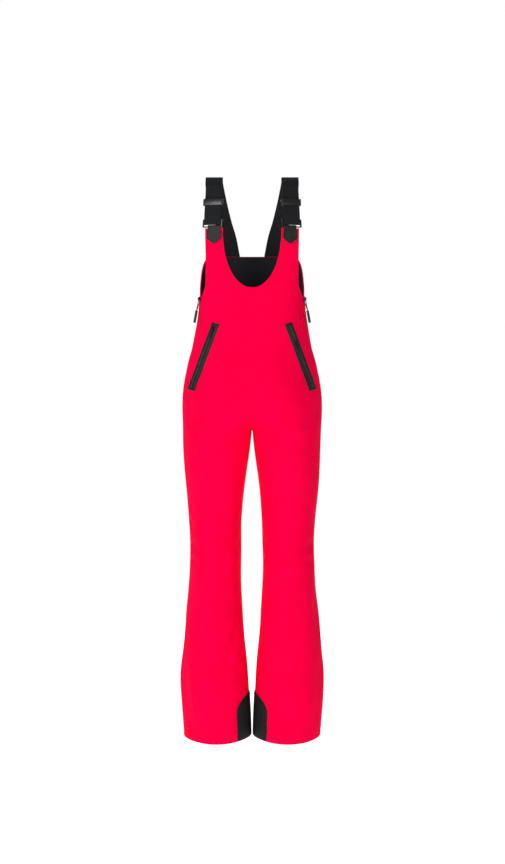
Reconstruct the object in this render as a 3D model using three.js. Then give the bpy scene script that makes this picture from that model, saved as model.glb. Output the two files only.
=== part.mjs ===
// Ski bib pants (salopettes), worn shape, in millimetres.
// +Z is up, +X is the wearer's left, the front faces -Y.
// The origin lies between the tops of the two shoulder straps.
import * as THREE from 'three';

// ---------------------------------------------------------------- heights, down from the strap tops
const bibTop = -135;
const neckBottom = -272;
const sideStep = -297;
const waistSeam = -332;
const lowWaist = -417;
const upperHip = -470;
const hip = -545;
const crotch = -630;
const knee = -925;
const hem = -1392;
const backYokeTop = -188;

// ---------------------------------------------------------------- cloth
const clothThickness = 3;
const liningThickness = 1.2;
const trimThickness = 1.2;
const seamGap = 1;
const layerGap = 0.6;
const facetGap = 1.8;

// ---------------------------------------------------------------- half sections from chest to hem
// outer and inner are distances from the middle plane, depth is half the front-to-back size,
// middle is where the section's centre lies in Y.
const stations = [
  { z: bibTop, outer: 160, inner: 0.4, depth: 100, middle: 0 },
  { z: sideStep, outer: 133, inner: 0.4, depth: 97, middle: 0 },
  { z: lowWaist, outer: 148, inner: 0.4, depth: 103, middle: 5 },
  { z: upperHip, outer: 162, inner: 0.4, depth: 109, middle: 8 },
  { z: hip, outer: 174, inner: 0.4, depth: 116, middle: 11 },
  { z: crotch, outer: 173, inner: 0.4, depth: 108, middle: 10 },
  { z: crotch + (knee - crotch) * 0.4, outer: 167, inner: 15, depth: 96, middle: 6 },
  { z: crotch + (knee - crotch) * 0.75, outer: 158, inner: 25, depth: 86, middle: 3 },
  { z: knee, outer: 154, inner: 27, depth: 80, middle: 2 },
  { z: knee + (hem - knee) * 0.2, outer: 159, inner: 26, depth: 81, middle: 4 },
  { z: knee + (hem - knee) * 0.42, outer: 168, inner: 20, depth: 87, middle: 8 },
  { z: knee + (hem - knee) * 0.7, outer: 177, inner: 8, depth: 94, middle: 10 },
  { z: hem, outer: 172, inner: 3.5, depth: 97, middle: 10 },
];
const forkStart = -440;
const hipCutSlope = 0.55;
const jointGap = 2;
const hemDip = 10;
const squareness = [[bibTop, 2.6], [sideStep, 2.3], [hip, 2]];

// ---------------------------------------------------------------- bib
const neckHalfWidth = 72;
const neckRoundness = 2.3;
const facingWidth = 28;
const sideSeam = [[bibTop, 116], [neckBottom, 116], [sideStep, 124], [lowWaist, 127]];
const seamReachesSide = -526;

// ---------------------------------------------------------------- straps and buckles
const strapX = 98;
const strapWidth = 42;
const strapThickness = 2.4;
const buckleBar = 2.6;
const tabWidth = 37;
const tabLength = 42;
const buckleDepth = 2.6;
const buckleSlot = 6.4;
const buckleSide = 3.7;
const slotClearance = 1.6;
const buckleSlotWidth = Math.max(strapWidth, tabWidth) + slotClearance;
const adjusterLength = 16;
const adjusterWall = 3;
const adjusterClearance = 0.7;
const adjusterTravel = 10;

// ---------------------------------------------------------------- thigh pockets
const pocketTop = { x: 90, z: -372 };
const pocketBottom = { x: 149, z: -528 };
const pocketWeltWidth = 19;
const pocketCoilWidth = 5;
const pocketFlattenReach = 55;
const pocketLift = 1.6;
const sliderLength = 11;
const pullLength = 24;
const pullWidth = 8;
const pullThickness = 1.4;
const leftSliderOpened = 42;
const rightSliderOpened = 4;

// ---------------------------------------------------------------- side zips and their cord pulls
const sideZipTop = sideStep - 8;
const sideZipEnd = -376;
const sideTapeWidth = 14;
const cordThickness = 2.6;
const cordLength = 27;
const gripLength = 32;
const gripWidth = 8;

// ---------------------------------------------------------------- ankles
const scuffHeight = 110;
const scuffReach = 52;
const scuffArch = 36;
const gaiterTop = hem + 190;
const gaiterBottom = hem + 12;
const gaiterInset = 26;
const gripperHeight = 22;
const hemFacingHeight = 34;

// ---------------------------------------------------------------- small parts at the back
const patchHalfWidth = 74;
const patchHeight = 34;
const loopDrop = 38;
const loopWidth = 9;
const loopSpread = 30;
const loopThickness = 1.6;

// ---------------------------------------------------------------- finishes
const finish = (color, roughness) => new THREE.MeshStandardMaterial({ color, roughness });
const finishes = {
  shell: finish(0xf00043, 0.62),
  lining: finish(0x1c1c1e, 0.8),
  webbing: finish(0x26272a, 0.75),
  plastic: finish(0x141416, 0.35),
  laminate: finish(0x2d2d30, 0.45),
  coil: finish(0x3a3936, 0.5),
  scuff: finish(0x1d201e, 0.7),
};

const pants = new THREE.Group();

function add(name, geometry, material) {
  const mesh = new THREE.Mesh(geometry, material);
  mesh.name = name;
  pants.add(mesh);
  return mesh;
}

// ---------------------------------------------------------------- small mathematics
const clamp01 = (t) => Math.min(1, Math.max(0, t));
const mix = (a, b, t) => a + (b - a) * t;
const smooth = (t) => clamp01(t) ** 2 * (3 - 2 * clamp01(t));
const radians = THREE.MathUtils.degToRad;

// A smooth curve through [place, value] pairs whose places run downwards.
function follow(pairs, z) {
  const last = pairs.length - 1;
  if (z >= pairs[0][0]) return pairs[0][1];
  if (z <= pairs[last][0]) return pairs[last][1];
  let i = 0;
  while (z < pairs[i + 1][0]) i += 1;
  const slope = (k) => {
    const a = Math.max(0, k - 1);
    const b = Math.min(last, k + 1);
    return (pairs[b][1] - pairs[a][1]) / (pairs[b][0] - pairs[a][0]);
  };
  const span = pairs[i + 1][0] - pairs[i][0];
  const t = (z - pairs[i][0]) / span;
  const t2 = t * t;
  const t3 = t2 * t;
  return pairs[i][1] * (2 * t3 - 3 * t2 + 1) + slope(i) * span * (t3 - 2 * t2 + t)
    + pairs[i + 1][1] * (3 * t2 - 2 * t3) + slope(i + 1) * span * (t3 - t2);
}

const profile = (key) => stations.map((s) => [s.z, s[key]]);
const outerPairs = profile('outer');
const innerPairs = profile('inner');
const depthPairs = profile('depth');
const middlePairs = profile('middle');

// One half of the garment at a height: an ellipse that slides off the middle plane
// as the trunk forks, and becomes the whole leg below the crotch.
function section(z) {
  const outer = follow(outerPairs, z);
  const inner = z > crotch ? 0.4 : follow(innerPairs, z);
  const forked = clamp01((forkStart - z) / (forkStart - crotch)) ** 2;
  const centre = z > crotch ? (outer / 2) * forked : (outer + inner) / 2;
  return {
    centre,
    half: outer - centre,
    inner,
    depth: follow(depthPairs, z),
    middle: follow(middlePairs, z),
    power: follow(squareness, z),
  };
}

// Angles run from 0 at the outer side over the front (positive) or the back (negative).
const signedPower = (value, power) => Math.sign(value) * Math.abs(value) ** power;
const angleOfX = (s, x) =>
  Math.acos(signedPower(Math.min(1, Math.max(-1, (x - s.centre) / s.half)), s.power / 2));
const frontY = (s, x) => s.middle - s.depth * signedPower(Math.sin(angleOfX(s, x)), 2 / s.power);
const seamAngleAbove = (z) => angleOfX(section(z), follow(sideSeam, z));
const seamAngle = (z) => (z > lowWaist
  ? seamAngleAbove(z)
  : seamAngleAbove(lowWaist) * (1 - smooth((lowWaist - z) / (lowWaist - seamReachesSide))));
const halfGapAngle = (s) => seamGap / 2 / s.depth;

function innerAngle(z) {
  const s = section(z);
  return Math.min(angleOfX(s, s.inner), Math.PI - halfGapAngle(s));
}

// The cloth is drawn flat along the pocket's zip, so that its slider runs straight.
const pocketRun = { x: pocketBottom.x - pocketTop.x, z: pocketBottom.z - pocketTop.z };
const pocketLength = Math.hypot(pocketRun.x, pocketRun.z);
const pocketTopY = frontY(section(pocketTop.z), pocketTop.x);
const pocketBottomY = frontY(section(pocketBottom.z), pocketBottom.x);

function pocketDraw(x, z) {
  const dx = x - pocketTop.x;
  const dz = z - pocketTop.z;
  const along = (dx * pocketRun.x + dz * pocketRun.z) / pocketLength;
  const aside = Math.abs(dx * pocketRun.z - dz * pocketRun.x) / pocketLength;
  const t = clamp01(along / pocketLength);
  const past = Math.abs(along - t * pocketLength);
  const lineZ = mix(pocketTop.z, pocketBottom.z, t);
  const curved = frontY(section(lineZ), mix(pocketTop.x, pocketBottom.x, t));
  const straight = mix(pocketTopY, pocketBottomY, t);
  return (straight - curved) * smooth(1 - Math.hypot(aside, past) / pocketFlattenReach);
}

// A point of the left half, `lift` outside the cloth's outer face.
function clothPoint(angle, z, lift = 0) {
  const s = section(z);
  const [cos, sin] = [Math.cos(angle), Math.sin(angle)];
  const out = new THREE.Vector2(
    signedPower(cos, 2 - 2 / s.power) / s.half, -signedPower(sin, 2 - 2 / s.power) / s.depth,
  ).normalize();
  const x = s.centre + s.half * signedPower(cos, 2 / s.power);
  const drawn = angle > 0 ? pocketDraw(x, z) : 0;
  const y = s.middle - s.depth * signedPower(sin, 2 / s.power) + drawn;
  return new THREE.Vector3(x + out.x * lift, y + out.y * lift, z);
}

// ---------------------------------------------------------------- building solids
function facingOut(geometry) {
  const at = geometry.attributes.position;
  const index = geometry.index;
  const [a, b, c] = [new THREE.Vector3(), new THREE.Vector3(), new THREE.Vector3()];
  let volume = 0;
  for (let i = 0; i < index.count; i += 3) {
    a.fromBufferAttribute(at, index.getX(i));
    b.fromBufferAttribute(at, index.getX(i + 1));
    c.fromBufferAttribute(at, index.getX(i + 2));
    volume += a.dot(b.cross(c));
  }
  if (volume < 0) {
    for (let i = 0; i < index.count; i += 3) {
      const first = index.getX(i);
      index.setX(i, index.getX(i + 1));
      index.setX(i + 1, first);
    }
  }
  geometry.computeVertexNormals();
  return geometry;
}

// A slab whose corners are all placed by place(across, along, through), each from 0 to 1.
function slab(columns, rows, place) {
  const geometry = new THREE.BoxGeometry(1, 1, 1, columns, 1, rows);
  const at = geometry.attributes.position;
  for (let i = 0; i < at.count; i += 1) {
    const across = Math.round((at.getX(i) + 0.5) * columns) / columns;
    const along = Math.round((0.5 - at.getZ(i)) * rows) / rows;
    const point = place(across, along, Math.round(at.getY(i) + 0.5));
    at.setXYZ(i, point.x, point.y, point.z);
  }
  return facingOut(geometry);
}

function mirrored(geometry) {
  const copy = geometry.clone();
  copy.applyMatrix4(new THREE.Matrix4().makeScale(-1, 1, 1));
  return facingOut(copy);
}

function addPair(name, geometry, material) {
  add(`${name}_left`, geometry, material);
  add(`${name}_right`, mirrored(geometry), material);
}

// A panel of the left half between two angles and two heights, all of which may vary.
function panel({ from, to, top, bottom, columns, rows, outside = 0, thickness = clothThickness }) {
  return slab(columns, rows, (across, along, through) => {
    let z = mix(top(across), bottom(across), along);
    const angle = mix(from(z), to(z), across);
    return clothPoint(angle, z, outside - thickness * through);
  });
}

// A height that lies on the slanted hip cut, found for one column of a panel.
function onHipCut(from, to, across, shift) {
  let z = crotch;
  for (let k = 0; k < 24; k += 1) {
    const x = clothPoint(mix(from(z), to(z), across), z).x;
    z = crotch + hipCutSlope * x + shift;
  }
  return z;
}

// A flat strip that follows points; its width runs as near to sidewaysAt as the path allows.
function strip(points, widthAt, thickness, sidewaysAt) {
  const steps = points.length - 1;
  return slab(2, steps, (across, along, through) => {
    const i = Math.round(along * steps);
    const tangent = points[Math.min(steps, i + 1)].clone().sub(points[Math.max(0, i - 1)]).normalize();
    const normal = tangent.clone().cross(sidewaysAt(i)).normalize();
    const width = normal.clone().cross(tangent).normalize();
    return points[i].clone()
      .addScaledVector(width, (across - 0.5) * widthAt(i))
      .addScaledVector(normal, (through - 0.5) * thickness);
  });
}

// A closed tube along a curve.
function tube(points, radius, sides, steps) {
  const round = new THREE.Shape();
  for (let k = 0; k < sides; k += 1) {
    const turn = (k / sides) * Math.PI * 2;
    const corner = [Math.cos(turn) * radius, Math.sin(turn) * radius];
    if (k === 0) round.moveTo(...corner);
    else round.lineTo(...corner);
  }
  const path = new THREE.CatmullRomCurve3(points);
  return new THREE.ExtrudeGeometry(round, { steps, extrudePath: path, bevelEnabled: false });
}

function roundedRectangle(target, width, height, radius, centreY = 0) {
  const x = width / 2;
  const low = centreY - height / 2;
  const high = centreY + height / 2;
  target.moveTo(-x + radius, low);
  target.lineTo(x - radius, low);
  target.quadraticCurveTo(x, low, x, low + radius);
  target.lineTo(x, high - radius);
  target.quadraticCurveTo(x, high, x - radius, high);
  target.lineTo(-x + radius, high);
  target.quadraticCurveTo(-x, high, -x, high - radius);
  target.lineTo(-x, low + radius);
  target.quadraticCurveTo(-x, low, -x + radius, low);
  return target;
}

const extrude = (shape, depth) =>
  new THREE.ExtrudeGeometry(shape, { depth, bevelEnabled: false, curveSegments: 3 });

// Seats a mesh with its local Y along `up` and its local Z pointing out of the cloth.
function seat(mesh, origin, up, out) {
  const along = up.clone().normalize();
  const across = along.clone().cross(out).normalize();
  const outward = across.clone().cross(along);
  mesh.quaternion.setFromRotationMatrix(new THREE.Matrix4().makeBasis(across, along, outward));
  mesh.position.copy(origin);
}

const mirrorX = (v, side) => new THREE.Vector3(v.x * side, v.y, v.z);
const sides = [
  { name: 'left', sign: 1, opened: leftSliderOpened },
  { name: 'right', sign: -1, opened: rightSliderOpened },
];

// ---------------------------------------------------------------- front panels with the bib
const neckShape = (z, half, bottom) => {
  const t = clamp01((z - bibTop) / (bottom - bibTop));
  return half * Math.sqrt(Math.max(0, 1 - t ** neckRoundness));
};
const middleGapX = seamGap / 2;
const neckAngle = (z) => {
  const s = section(z);
  return angleOfX(s, Math.max(middleGapX, neckShape(z, neckHalfWidth, neckBottom)));
};
const frontFrom = (z) => seamAngle(z) + halfGapAngle(section(z));
const frontTo = (z) => (z > neckBottom ? neckAngle(z) : innerAngle(z));

const bibRows = 9;
const frontRows = 25;
function frontHeight(across, along) {
  const row = along * frontRows;
  if (row <= bibRows) return mix(bibTop, neckBottom, Math.sin((row / bibRows) * Math.PI / 2));
  const bottom = onHipCut(frontFrom, frontTo, across, jointGap / 2);
  return mix(neckBottom, bottom, (row - bibRows) / (frontRows - bibRows));
}
addPair('front_panel', slab(11, frontRows, (across, along, through) => {
  const z = frontHeight(across, along);
  return clothPoint(mix(frontFrom(z), frontTo(z), across), z, -clothThickness * through);
}), finishes.shell);

// ---------------------------------------------------------------- facing inside the neckline
const facingBottom = neckBottom - facingWidth;
const facingOutside = -(clothThickness + layerGap);
const facingEdge = (z) => angleOfX(section(z), Math.max(
  middleGapX + 1.5, neckShape(z, neckHalfWidth + facingWidth, facingBottom),
));
const facingRows = 12;
const facingTop = bibTop - 32;
addPair('bib_facing', slab(2, facingRows, (across, along, through) => {
  const z = mix(facingTop, facingBottom, Math.sin(along * Math.PI / 2));
  const angle = mix(facingEdge(z), neckAngle(z), across);
  return clothPoint(angle, z, facingOutside - liningThickness * through);
}), finishes.lining);

// ---------------------------------------------------------------- back panels and yoke
const backFrom = (z) => seamAngle(z) - halfGapAngle(section(z));
const backTo = (z) => -innerAngle(z);
addPair('back_panel', panel({
  from: backFrom,
  to: backTo,
  top: () => waistSeam - seamGap / 2,
  bottom: (across) => onHipCut(backFrom, backTo, across, jointGap / 2),
  columns: 11,
  rows: 10,
}), finishes.shell);

const yokeTop = (across) => mix(backYokeTop, sideStep, smooth((across - 0.28) / 0.5));
function yokePoint(turn, height, lift) {
  const across = Math.abs(turn);
  const z = mix(yokeTop(across), waistSeam + seamGap / 2, height);
  const point = clothPoint(mix(-Math.PI / 2, backFrom(z), across), z, lift);
  return mirrorX(point, Math.sign(turn) || 1);
}
add('back_yoke', slab(24, 5, (across, along, through) =>
  yokePoint(across * 2 - 1, along, -clothThickness * through)), finishes.shell);

// ---------------------------------------------------------------- waist elastic inside the back
const elasticTop = waistSeam + 22;
const elasticBottom = waistSeam - 18;
const elasticReach = 0.72;
add('waist_elastic', slab(16, 1, (across, along, through) => {
  const turn = (across * 2 - 1) * elasticReach;
  const z = mix(elasticTop, elasticBottom, along);
  const angle = mix(-Math.PI / 2, 0, Math.abs(turn));
  const lift = -(clothThickness + facetGap) - strapThickness * through;
  return mirrorX(clothPoint(angle, z, lift), Math.sign(turn) || 1);
}), finishes.webbing);

// ---------------------------------------------------------------- legs
const legFrontFrom = (z) => halfGapAngle(section(z));
const legBackFrom = (z) => -halfGapAngle(section(z));
const legBackTo = (z) => -innerAngle(z);
const hemAt = (across) => hem - hemDip * Math.sin(across * Math.PI) ** 2;

function legPair(name, from, to) {
  addPair(`thigh_${name}`, panel({
    from,
    to,
    top: (across) => onHipCut(from, to, across, -jointGap / 2),
    bottom: () => knee + seamGap / 2,
    columns: 11,
    rows: 7,
  }), finishes.shell);
  addPair(`shin_${name}`, panel({
    from,
    to,
    top: () => knee - seamGap / 2,
    bottom: hemAt,
    columns: 10,
    rows: 9,
  }), finishes.shell);
}
legPair('front', legFrontFrom, innerAngle);
legPair('back', legBackFrom, legBackTo);

// ---------------------------------------------------------------- ankles
const fullTurn = Math.PI * 2;
const scuffTop = (across) => hem + scuffHeight - scuffArch * Math.abs(across * 2 - 1) ** 2.4;
addPair('scuff_guard', panel({
  from: () => Math.PI - radians(scuffReach),
  to: () => Math.PI + radians(scuffReach),
  top: scuffTop,
  bottom: () => hem + 2,
  columns: 10,
  rows: 3,
  outside: layerGap + trimThickness,
  thickness: trimThickness,
}), finishes.scuff);

addPair('hem_facing', panel({
  from: () => radians(-178),
  to: () => radians(178),
  top: () => hem + hemFacingHeight,
  bottom: () => hem + 3,
  columns: 22,
  rows: 1,
  outside: -(clothThickness + facetGap),
  thickness: liningThickness,
}), finishes.lining);

// The gaiter hangs from the lining and narrows towards the boot, with a slit at the front.
function gaiterBand(topLift, bottomLift, top, bottom, rows, thickness) {
  return slab(20, rows, (across, along, through) => {
    const angle = mix(radians(93), radians(447), across);
    const lift = mix(topLift, bottomLift, along) - thickness * through;
    return clothPoint(angle > Math.PI ? angle - fullTurn : angle, mix(top, bottom, along), lift);
  });
}
const gaiterLift = -(clothThickness + liningThickness + 3);
addPair('gaiter', gaiterBand(gaiterLift, -gaiterInset, gaiterTop, gaiterBottom, 4, liningThickness),
  finishes.lining);
const gripperLift = -gaiterInset - liningThickness - layerGap - 0.6;
addPair('gaiter_gripper', gaiterBand(gripperLift, gripperLift, gaiterBottom + gripperHeight,
  gaiterBottom + 1, 1, trimThickness), finishes.webbing);

// ---------------------------------------------------------------- thigh pockets
function pocketPoint(along, aside, lift) {
  const t = along / pocketLength;
  const x = mix(pocketTop.x, pocketBottom.x, t) - (aside * pocketRun.z) / pocketLength;
  const z = mix(pocketTop.z, pocketBottom.z, t) + (aside * pocketRun.x) / pocketLength;
  return clothPoint(angleOfX(section(z), x), z, lift);
}
const pocketStrip = (width, from, to, lift, thickness) => slab(2, 8, (across, along, through) =>
  pocketPoint(mix(from, to, along), (across - 0.5) * width, lift - thickness * through));

const weltOutside = pocketLift + trimThickness;
const coilOutside = weltOutside + layerGap + trimThickness;
const pocketEnd = 4;
addPair('pocket_welt', pocketStrip(
  pocketWeltWidth, -pocketEnd, pocketLength + pocketEnd, weltOutside, trimThickness,
), finishes.laminate);
addPair('pocket_zip_coil', pocketStrip(
  pocketCoilWidth, 1, pocketLength - 1, coilOutside, trimThickness,
), finishes.coil);

const bagOutside = -(clothThickness + facetGap);
addPair('pocket_bag', panel({
  from: () => radians(44),
  to: () => radians(76),
  top: () => pocketTop.z - 8,
  bottom: () => pocketBottom.z - 6,
  columns: 4,
  rows: 5,
  outside: bagOutside,
  thickness: 2 * liningThickness,
}), finishes.lining);

// ---------------------------------------------------------------- zip sliders and pulls
const sliderBase = 2.2;
const bridgeHole = 2.6;
const bridgeWall = 1.2;
const bridgeWidth = 4.4;
const pullSlotWidth = bridgeWidth + 1.2;
const pullBar = 1.5;
const bridgeFloor = 0.3;
const barHeight = sliderBase + bridgeFloor + bridgeHole / 2;

// A slider's side view: a flat base with an arched bridge that the pull's bar goes through.
function sliderGeometry(width) {
  const half = sliderLength / 2;
  const high = barHeight + bridgeHole / 2 + bridgeWall;
  const side = new THREE.Shape();
  side.moveTo(-half, 0);
  side.lineTo(half, 0);
  side.lineTo(half, sliderBase);
  side.lineTo(bridgeHole / 2 + bridgeWall, high);
  side.lineTo(-bridgeHole / 2 - bridgeWall, high);
  side.lineTo(-half, sliderBase);
  const hole = new THREE.Path();
  hole.moveTo(-bridgeHole / 2, barHeight - bridgeHole / 2);
  hole.lineTo(bridgeHole / 2, barHeight - bridgeHole / 2);
  hole.lineTo(bridgeHole / 2, barHeight + bridgeHole / 2);
  hole.lineTo(-bridgeHole / 2, barHeight + bridgeHole / 2);
  side.holes.push(hole);
  const geometry = extrude(side, width);
  geometry.translate(0, 0, -width / 2);
  // the side view's X runs along the zip, and its Y points out of the cloth
  return geometry.applyMatrix4(new THREE.Matrix4().makeBasis(
    new THREE.Vector3(0, 1, 0), new THREE.Vector3(0, 0, 1), new THREE.Vector3(1, 0, 0),
  ));
}

function pullGeometry(length) {
  const shape = roundedRectangle(new THREE.Shape(), pullWidth, length + pullBar, 1.6, -length / 2);
  const slot = sliderLength / 2;
  shape.holes.push(roundedRectangle(new THREE.Path(), pullSlotWidth, slot, 0.4, -(pullBar + slot) / 2));
  const geometry = extrude(shape, pullThickness);
  geometry.translate(0, 0, -pullThickness / 2);
  return geometry;
}

const zipDown = pocketPoint(pocketLength, 0, 0).sub(pocketPoint(0, 0, 0)).normalize();
const acrossZip = pocketPoint(pocketLength / 2, 1, 0).sub(pocketPoint(pocketLength / 2, -1, 0));
const zipOut = acrossZip.clone().cross(zipDown).normalize();
if (zipOut.y > 0) zipOut.negate();

for (const side of sides) {
  const down = mirrorX(zipDown, side.sign);
  const out = mirrorX(zipOut, side.sign);
  const start = side.opened + sliderLength / 2;
  const foot = mirrorX(pocketPoint(0, 0, 0), side.sign)
    .addScaledVector(down, start)
    .addScaledVector(out, coilOutside + layerGap);
  const slider = add(`pocket_slider_${side.name}`, sliderGeometry(bridgeWidth), finishes.plastic);
  seat(slider, foot, down.clone().negate(), out);
  const pull = add(`pocket_pull_${side.name}`, pullGeometry(pullLength), finishes.plastic);
  seat(pull, foot.clone().addScaledVector(out, barHeight), down.clone().negate(), out);
}

// ---------------------------------------------------------------- side zips
const sideZipPoint = (z, lift) => clothPoint(seamAngle(z), z, lift);
const tapeOutside = layerGap + trimThickness;
addPair('side_zip_tape', slab(2, 6, (across, along, through) => {
  const z = mix(sideZipTop + 6, sideZipEnd, along);
  const angle = seamAngle(z) + ((across - 0.5) * sideTapeWidth) / section(z).half;
  return clothPoint(angle, z, tapeOutside - trimThickness * through);
}), finishes.coil);

const sideTop = sideZipPoint(sideZipTop, 0);
const sideBottom = sideZipPoint(sideZipEnd, 0);
const sideDown = sideBottom.clone().sub(sideTop).normalize();
const sideOut = sideZipPoint(sideZipTop, 1).sub(sideTop).normalize();
const sideLift = tapeOutside + 2.2;

for (const side of sides) {
  const down = mirrorX(sideDown, side.sign);
  const out = mirrorX(sideOut, side.sign);
  const foot = mirrorX(sideTop, side.sign).addScaledVector(out, sideLift);
  const slider = add(`side_slider_${side.name}`, sliderGeometry(bridgeWidth), finishes.plastic);
  seat(slider, foot, down.clone().negate(), out);

  // The cord starts as a short bar in the slider's bridge, then both strands hang to the knot.
  const bar = foot.clone().addScaledVector(out, barHeight);
  const across = down.clone().cross(out).normalize();
  const hang = (angleShift, z, lift) =>
    mirrorX(clothPoint(seamAngle(sideZipTop) - radians(angleShift), z, lift), side.sign);
  const knot = hang(3, sideZipTop - cordLength, 10);
  const barReach = bridgeWidth / 2 + 0.5;
  const reach = barReach + cordThickness / 2;
  const cordPoints = [
    knot.clone().addScaledVector(across, -cordThickness * 0.6),
    bar.clone().addScaledVector(across, -reach).addScaledVector(down, 8),
    bar.clone().addScaledVector(across, -reach).addScaledVector(down, 2),
    bar.clone().addScaledVector(across, -barReach),
    bar.clone(),
    bar.clone().addScaledVector(across, barReach),
    bar.clone().addScaledVector(across, reach).addScaledVector(down, 2),
    bar.clone().addScaledVector(across, reach).addScaledVector(down, 8),
    knot.clone().addScaledVector(across, cordThickness * 0.6),
  ];
  add(`side_pull_cord_${side.name}`, tube(cordPoints, cordThickness / 2 - 0.35, 8, 24),
    finishes.webbing);

  const tip = hang(3, sideZipTop - cordLength - gripLength, 12);
  const gripUp = knot.clone().sub(tip).normalize();
  const grip = add(`side_pull_grip_${side.name}`, extrude(
    roundedRectangle(new THREE.Shape(), gripWidth, gripLength, 3, -gripLength / 2 - 1), 4,
  ).translate(0, 0, -2), finishes.plastic);
  seat(grip, knot, gripUp, out);
}

// ---------------------------------------------------------------- front buckles and tabs
// The bib's corner has its own frame: across it, out of it, and up.
const cornerAngle = angleOfX(section(bibTop), strapX);
const bibCorner = clothPoint(cornerAngle, bibTop, -clothThickness / 2);
const cornerOut = clothPoint(cornerAngle, bibTop, 1).sub(clothPoint(cornerAngle, bibTop, 0)).normalize();
const up = new THREE.Vector3(0, 0, 1);
const cornerAcross = up.clone().cross(cornerOut).normalize();
const tabRadius = clothThickness / 2 + layerGap + trimThickness / 2;
const barAboveBib = layerGap + buckleBar / 2 + 1;
const hingePoint = bibCorner.clone().addScaledVector(up, barAboveBib);
const fromHinge = (outward, rise) =>
  hingePoint.clone().addScaledVector(cornerOut, outward).addScaledVector(up, rise);

const tabTurns = 8;
const tabPoints = [];
const tabWidths = [];
function tabPush(outward, rise, width) {
  tabPoints.push(fromHinge(outward, rise));
  tabWidths.push(width);
}
const tabStand = 1.1;
const tabBack = 2.4;
const turnCentre = -tabBack / 2;
const turnRadius = tabRadius + tabBack / 2;
tabPush(tabRadius + tabStand, -tabLength, 4);
tabPush(tabRadius + tabStand, -tabLength * 0.7, tabWidth);
tabPush(tabRadius + tabStand, -8, tabWidth);
for (let k = 0; k <= tabTurns; k += 1) {
  const turn = Math.PI * (k / tabTurns);
  tabPush(turnCentre + turnRadius * Math.cos(turn), turnRadius * Math.sin(turn), tabWidth);
}
tabPush(-tabRadius - tabBack - tabStand, -8, tabWidth);
tabPush(-tabRadius - tabBack - tabStand, -24, tabWidth);
addPair('strap_tab', strip(tabPoints, (i) => tabWidths[i], trimThickness, () => cornerAcross),
  finishes.laminate);

// The buckle is a flat frame with one slot for the tab and one for the strap.
const buckleHeight = 3 * buckleBar + 2 * buckleSlot;
const strapLean = 0.15;
const strapUp = up.clone().addScaledVector(cornerOut, -strapLean).normalize();
const buckleOut = cornerAcross.clone().cross(strapUp).normalize();
function buckleGeometry() {
  const centre = buckleHeight / 2 - buckleBar / 2;
  const buckleWidth = buckleSlotWidth + 2 * buckleSide;
  const frame = roundedRectangle(new THREE.Shape(), buckleWidth, buckleHeight, 3, centre);
  const lowSlot = buckleBar / 2 + buckleSlot / 2;
  const highSlot = lowSlot + buckleBar + buckleSlot;
  frame.holes.push(roundedRectangle(new THREE.Path(), buckleSlotWidth, buckleSlot, 1, lowSlot));
  frame.holes.push(roundedRectangle(new THREE.Path(), buckleSlotWidth, buckleSlot, 1, highSlot));
  return extrude(frame, buckleDepth).translate(0, 0, -buckleDepth / 2);
}

// ---------------------------------------------------------------- straps
const strapBarUp = 2 * (buckleBar + buckleSlot);
const strapBar = hingePoint.clone().addScaledVector(strapUp, strapBarUp);
const loopRadius = buckleBar / 2 + layerGap + strapThickness / 2 + 0.4;
const lowerLength = 24;
const onStrap = (rise, outward) => strapBar.clone()
  .addScaledVector(strapUp, rise).addScaledVector(buckleOut, outward);
const strapLine = (rise) => onStrap(rise, loopRadius);

const lowerPoints = [strapLine(lowerLength), strapLine(lowerLength * 0.6)];
for (let k = 0; k <= 8; k += 1) {
  const turn = Math.PI * (k / 8);
  lowerPoints.push(onStrap(-loopRadius * Math.sin(turn), loopRadius * Math.cos(turn)));
}
lowerPoints.push(onStrap(lowerLength * 0.5, -loopRadius * 0.3));
addPair('strap_end_loop', strip(lowerPoints, () => strapWidth, strapThickness, () => cornerAcross),
  finishes.webbing);

const upperStart = lowerLength + seamGap;
const straightLength = 52;
const restZ = -strapThickness / 2;
const strapRestHalf = 12;
const backEndZ = backYokeTop - 30;
const backEndX = 46;
const backAngle = -angleOfX(section(backEndZ), backEndX);
const strapOnYoke = 2.6;
const backEnd = clothPoint(backAngle, backEndZ, strapOnYoke);
const backOut = clothPoint(backAngle, backEndZ, 1).sub(clothPoint(backAngle, backEndZ, 0)).normalize();
const backAcross = backOut.clone().cross(up).normalize();
const strapTopX = strapX - 4;
const backTop = backEnd.clone().add(new THREE.Vector3(8, 0.5, 42));
const strapPoints = [
  strapLine(upperStart),
  strapLine(upperStart + straightLength * 0.5),
  strapLine(upperStart + straightLength),
  new THREE.Vector3(strapTopX, -58, restZ - 16),
  new THREE.Vector3(strapTopX, -38, restZ - 5),
  new THREE.Vector3(strapTopX, -strapRestHalf, restZ),
  new THREE.Vector3(strapTopX, strapRestHalf, restZ),
  new THREE.Vector3(strapTopX, 36, restZ - 9),
  new THREE.Vector3(strapTopX - 4, 58, restZ - 30),
  new THREE.Vector3(strapTopX - 11, 75, restZ - 62),
  new THREE.Vector3(strapTopX - 21, 87, restZ - 102),
  new THREE.Vector3(strapTopX - 33, 94, restZ - 142),
  backTop,
  backEnd,
];
const strapAcross = (i) => {
  const level = new THREE.Vector3(1, 0, 0);
  if (i < 5) return cornerAcross.clone().lerp(level, clamp01((i - 2) / 3)).normalize();
  return level.lerp(backAcross, clamp01((i - 6) / 5)).normalize();
};
addPair('strap', strip(strapPoints, () => strapWidth, strapThickness, strapAcross), finishes.webbing);

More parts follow.
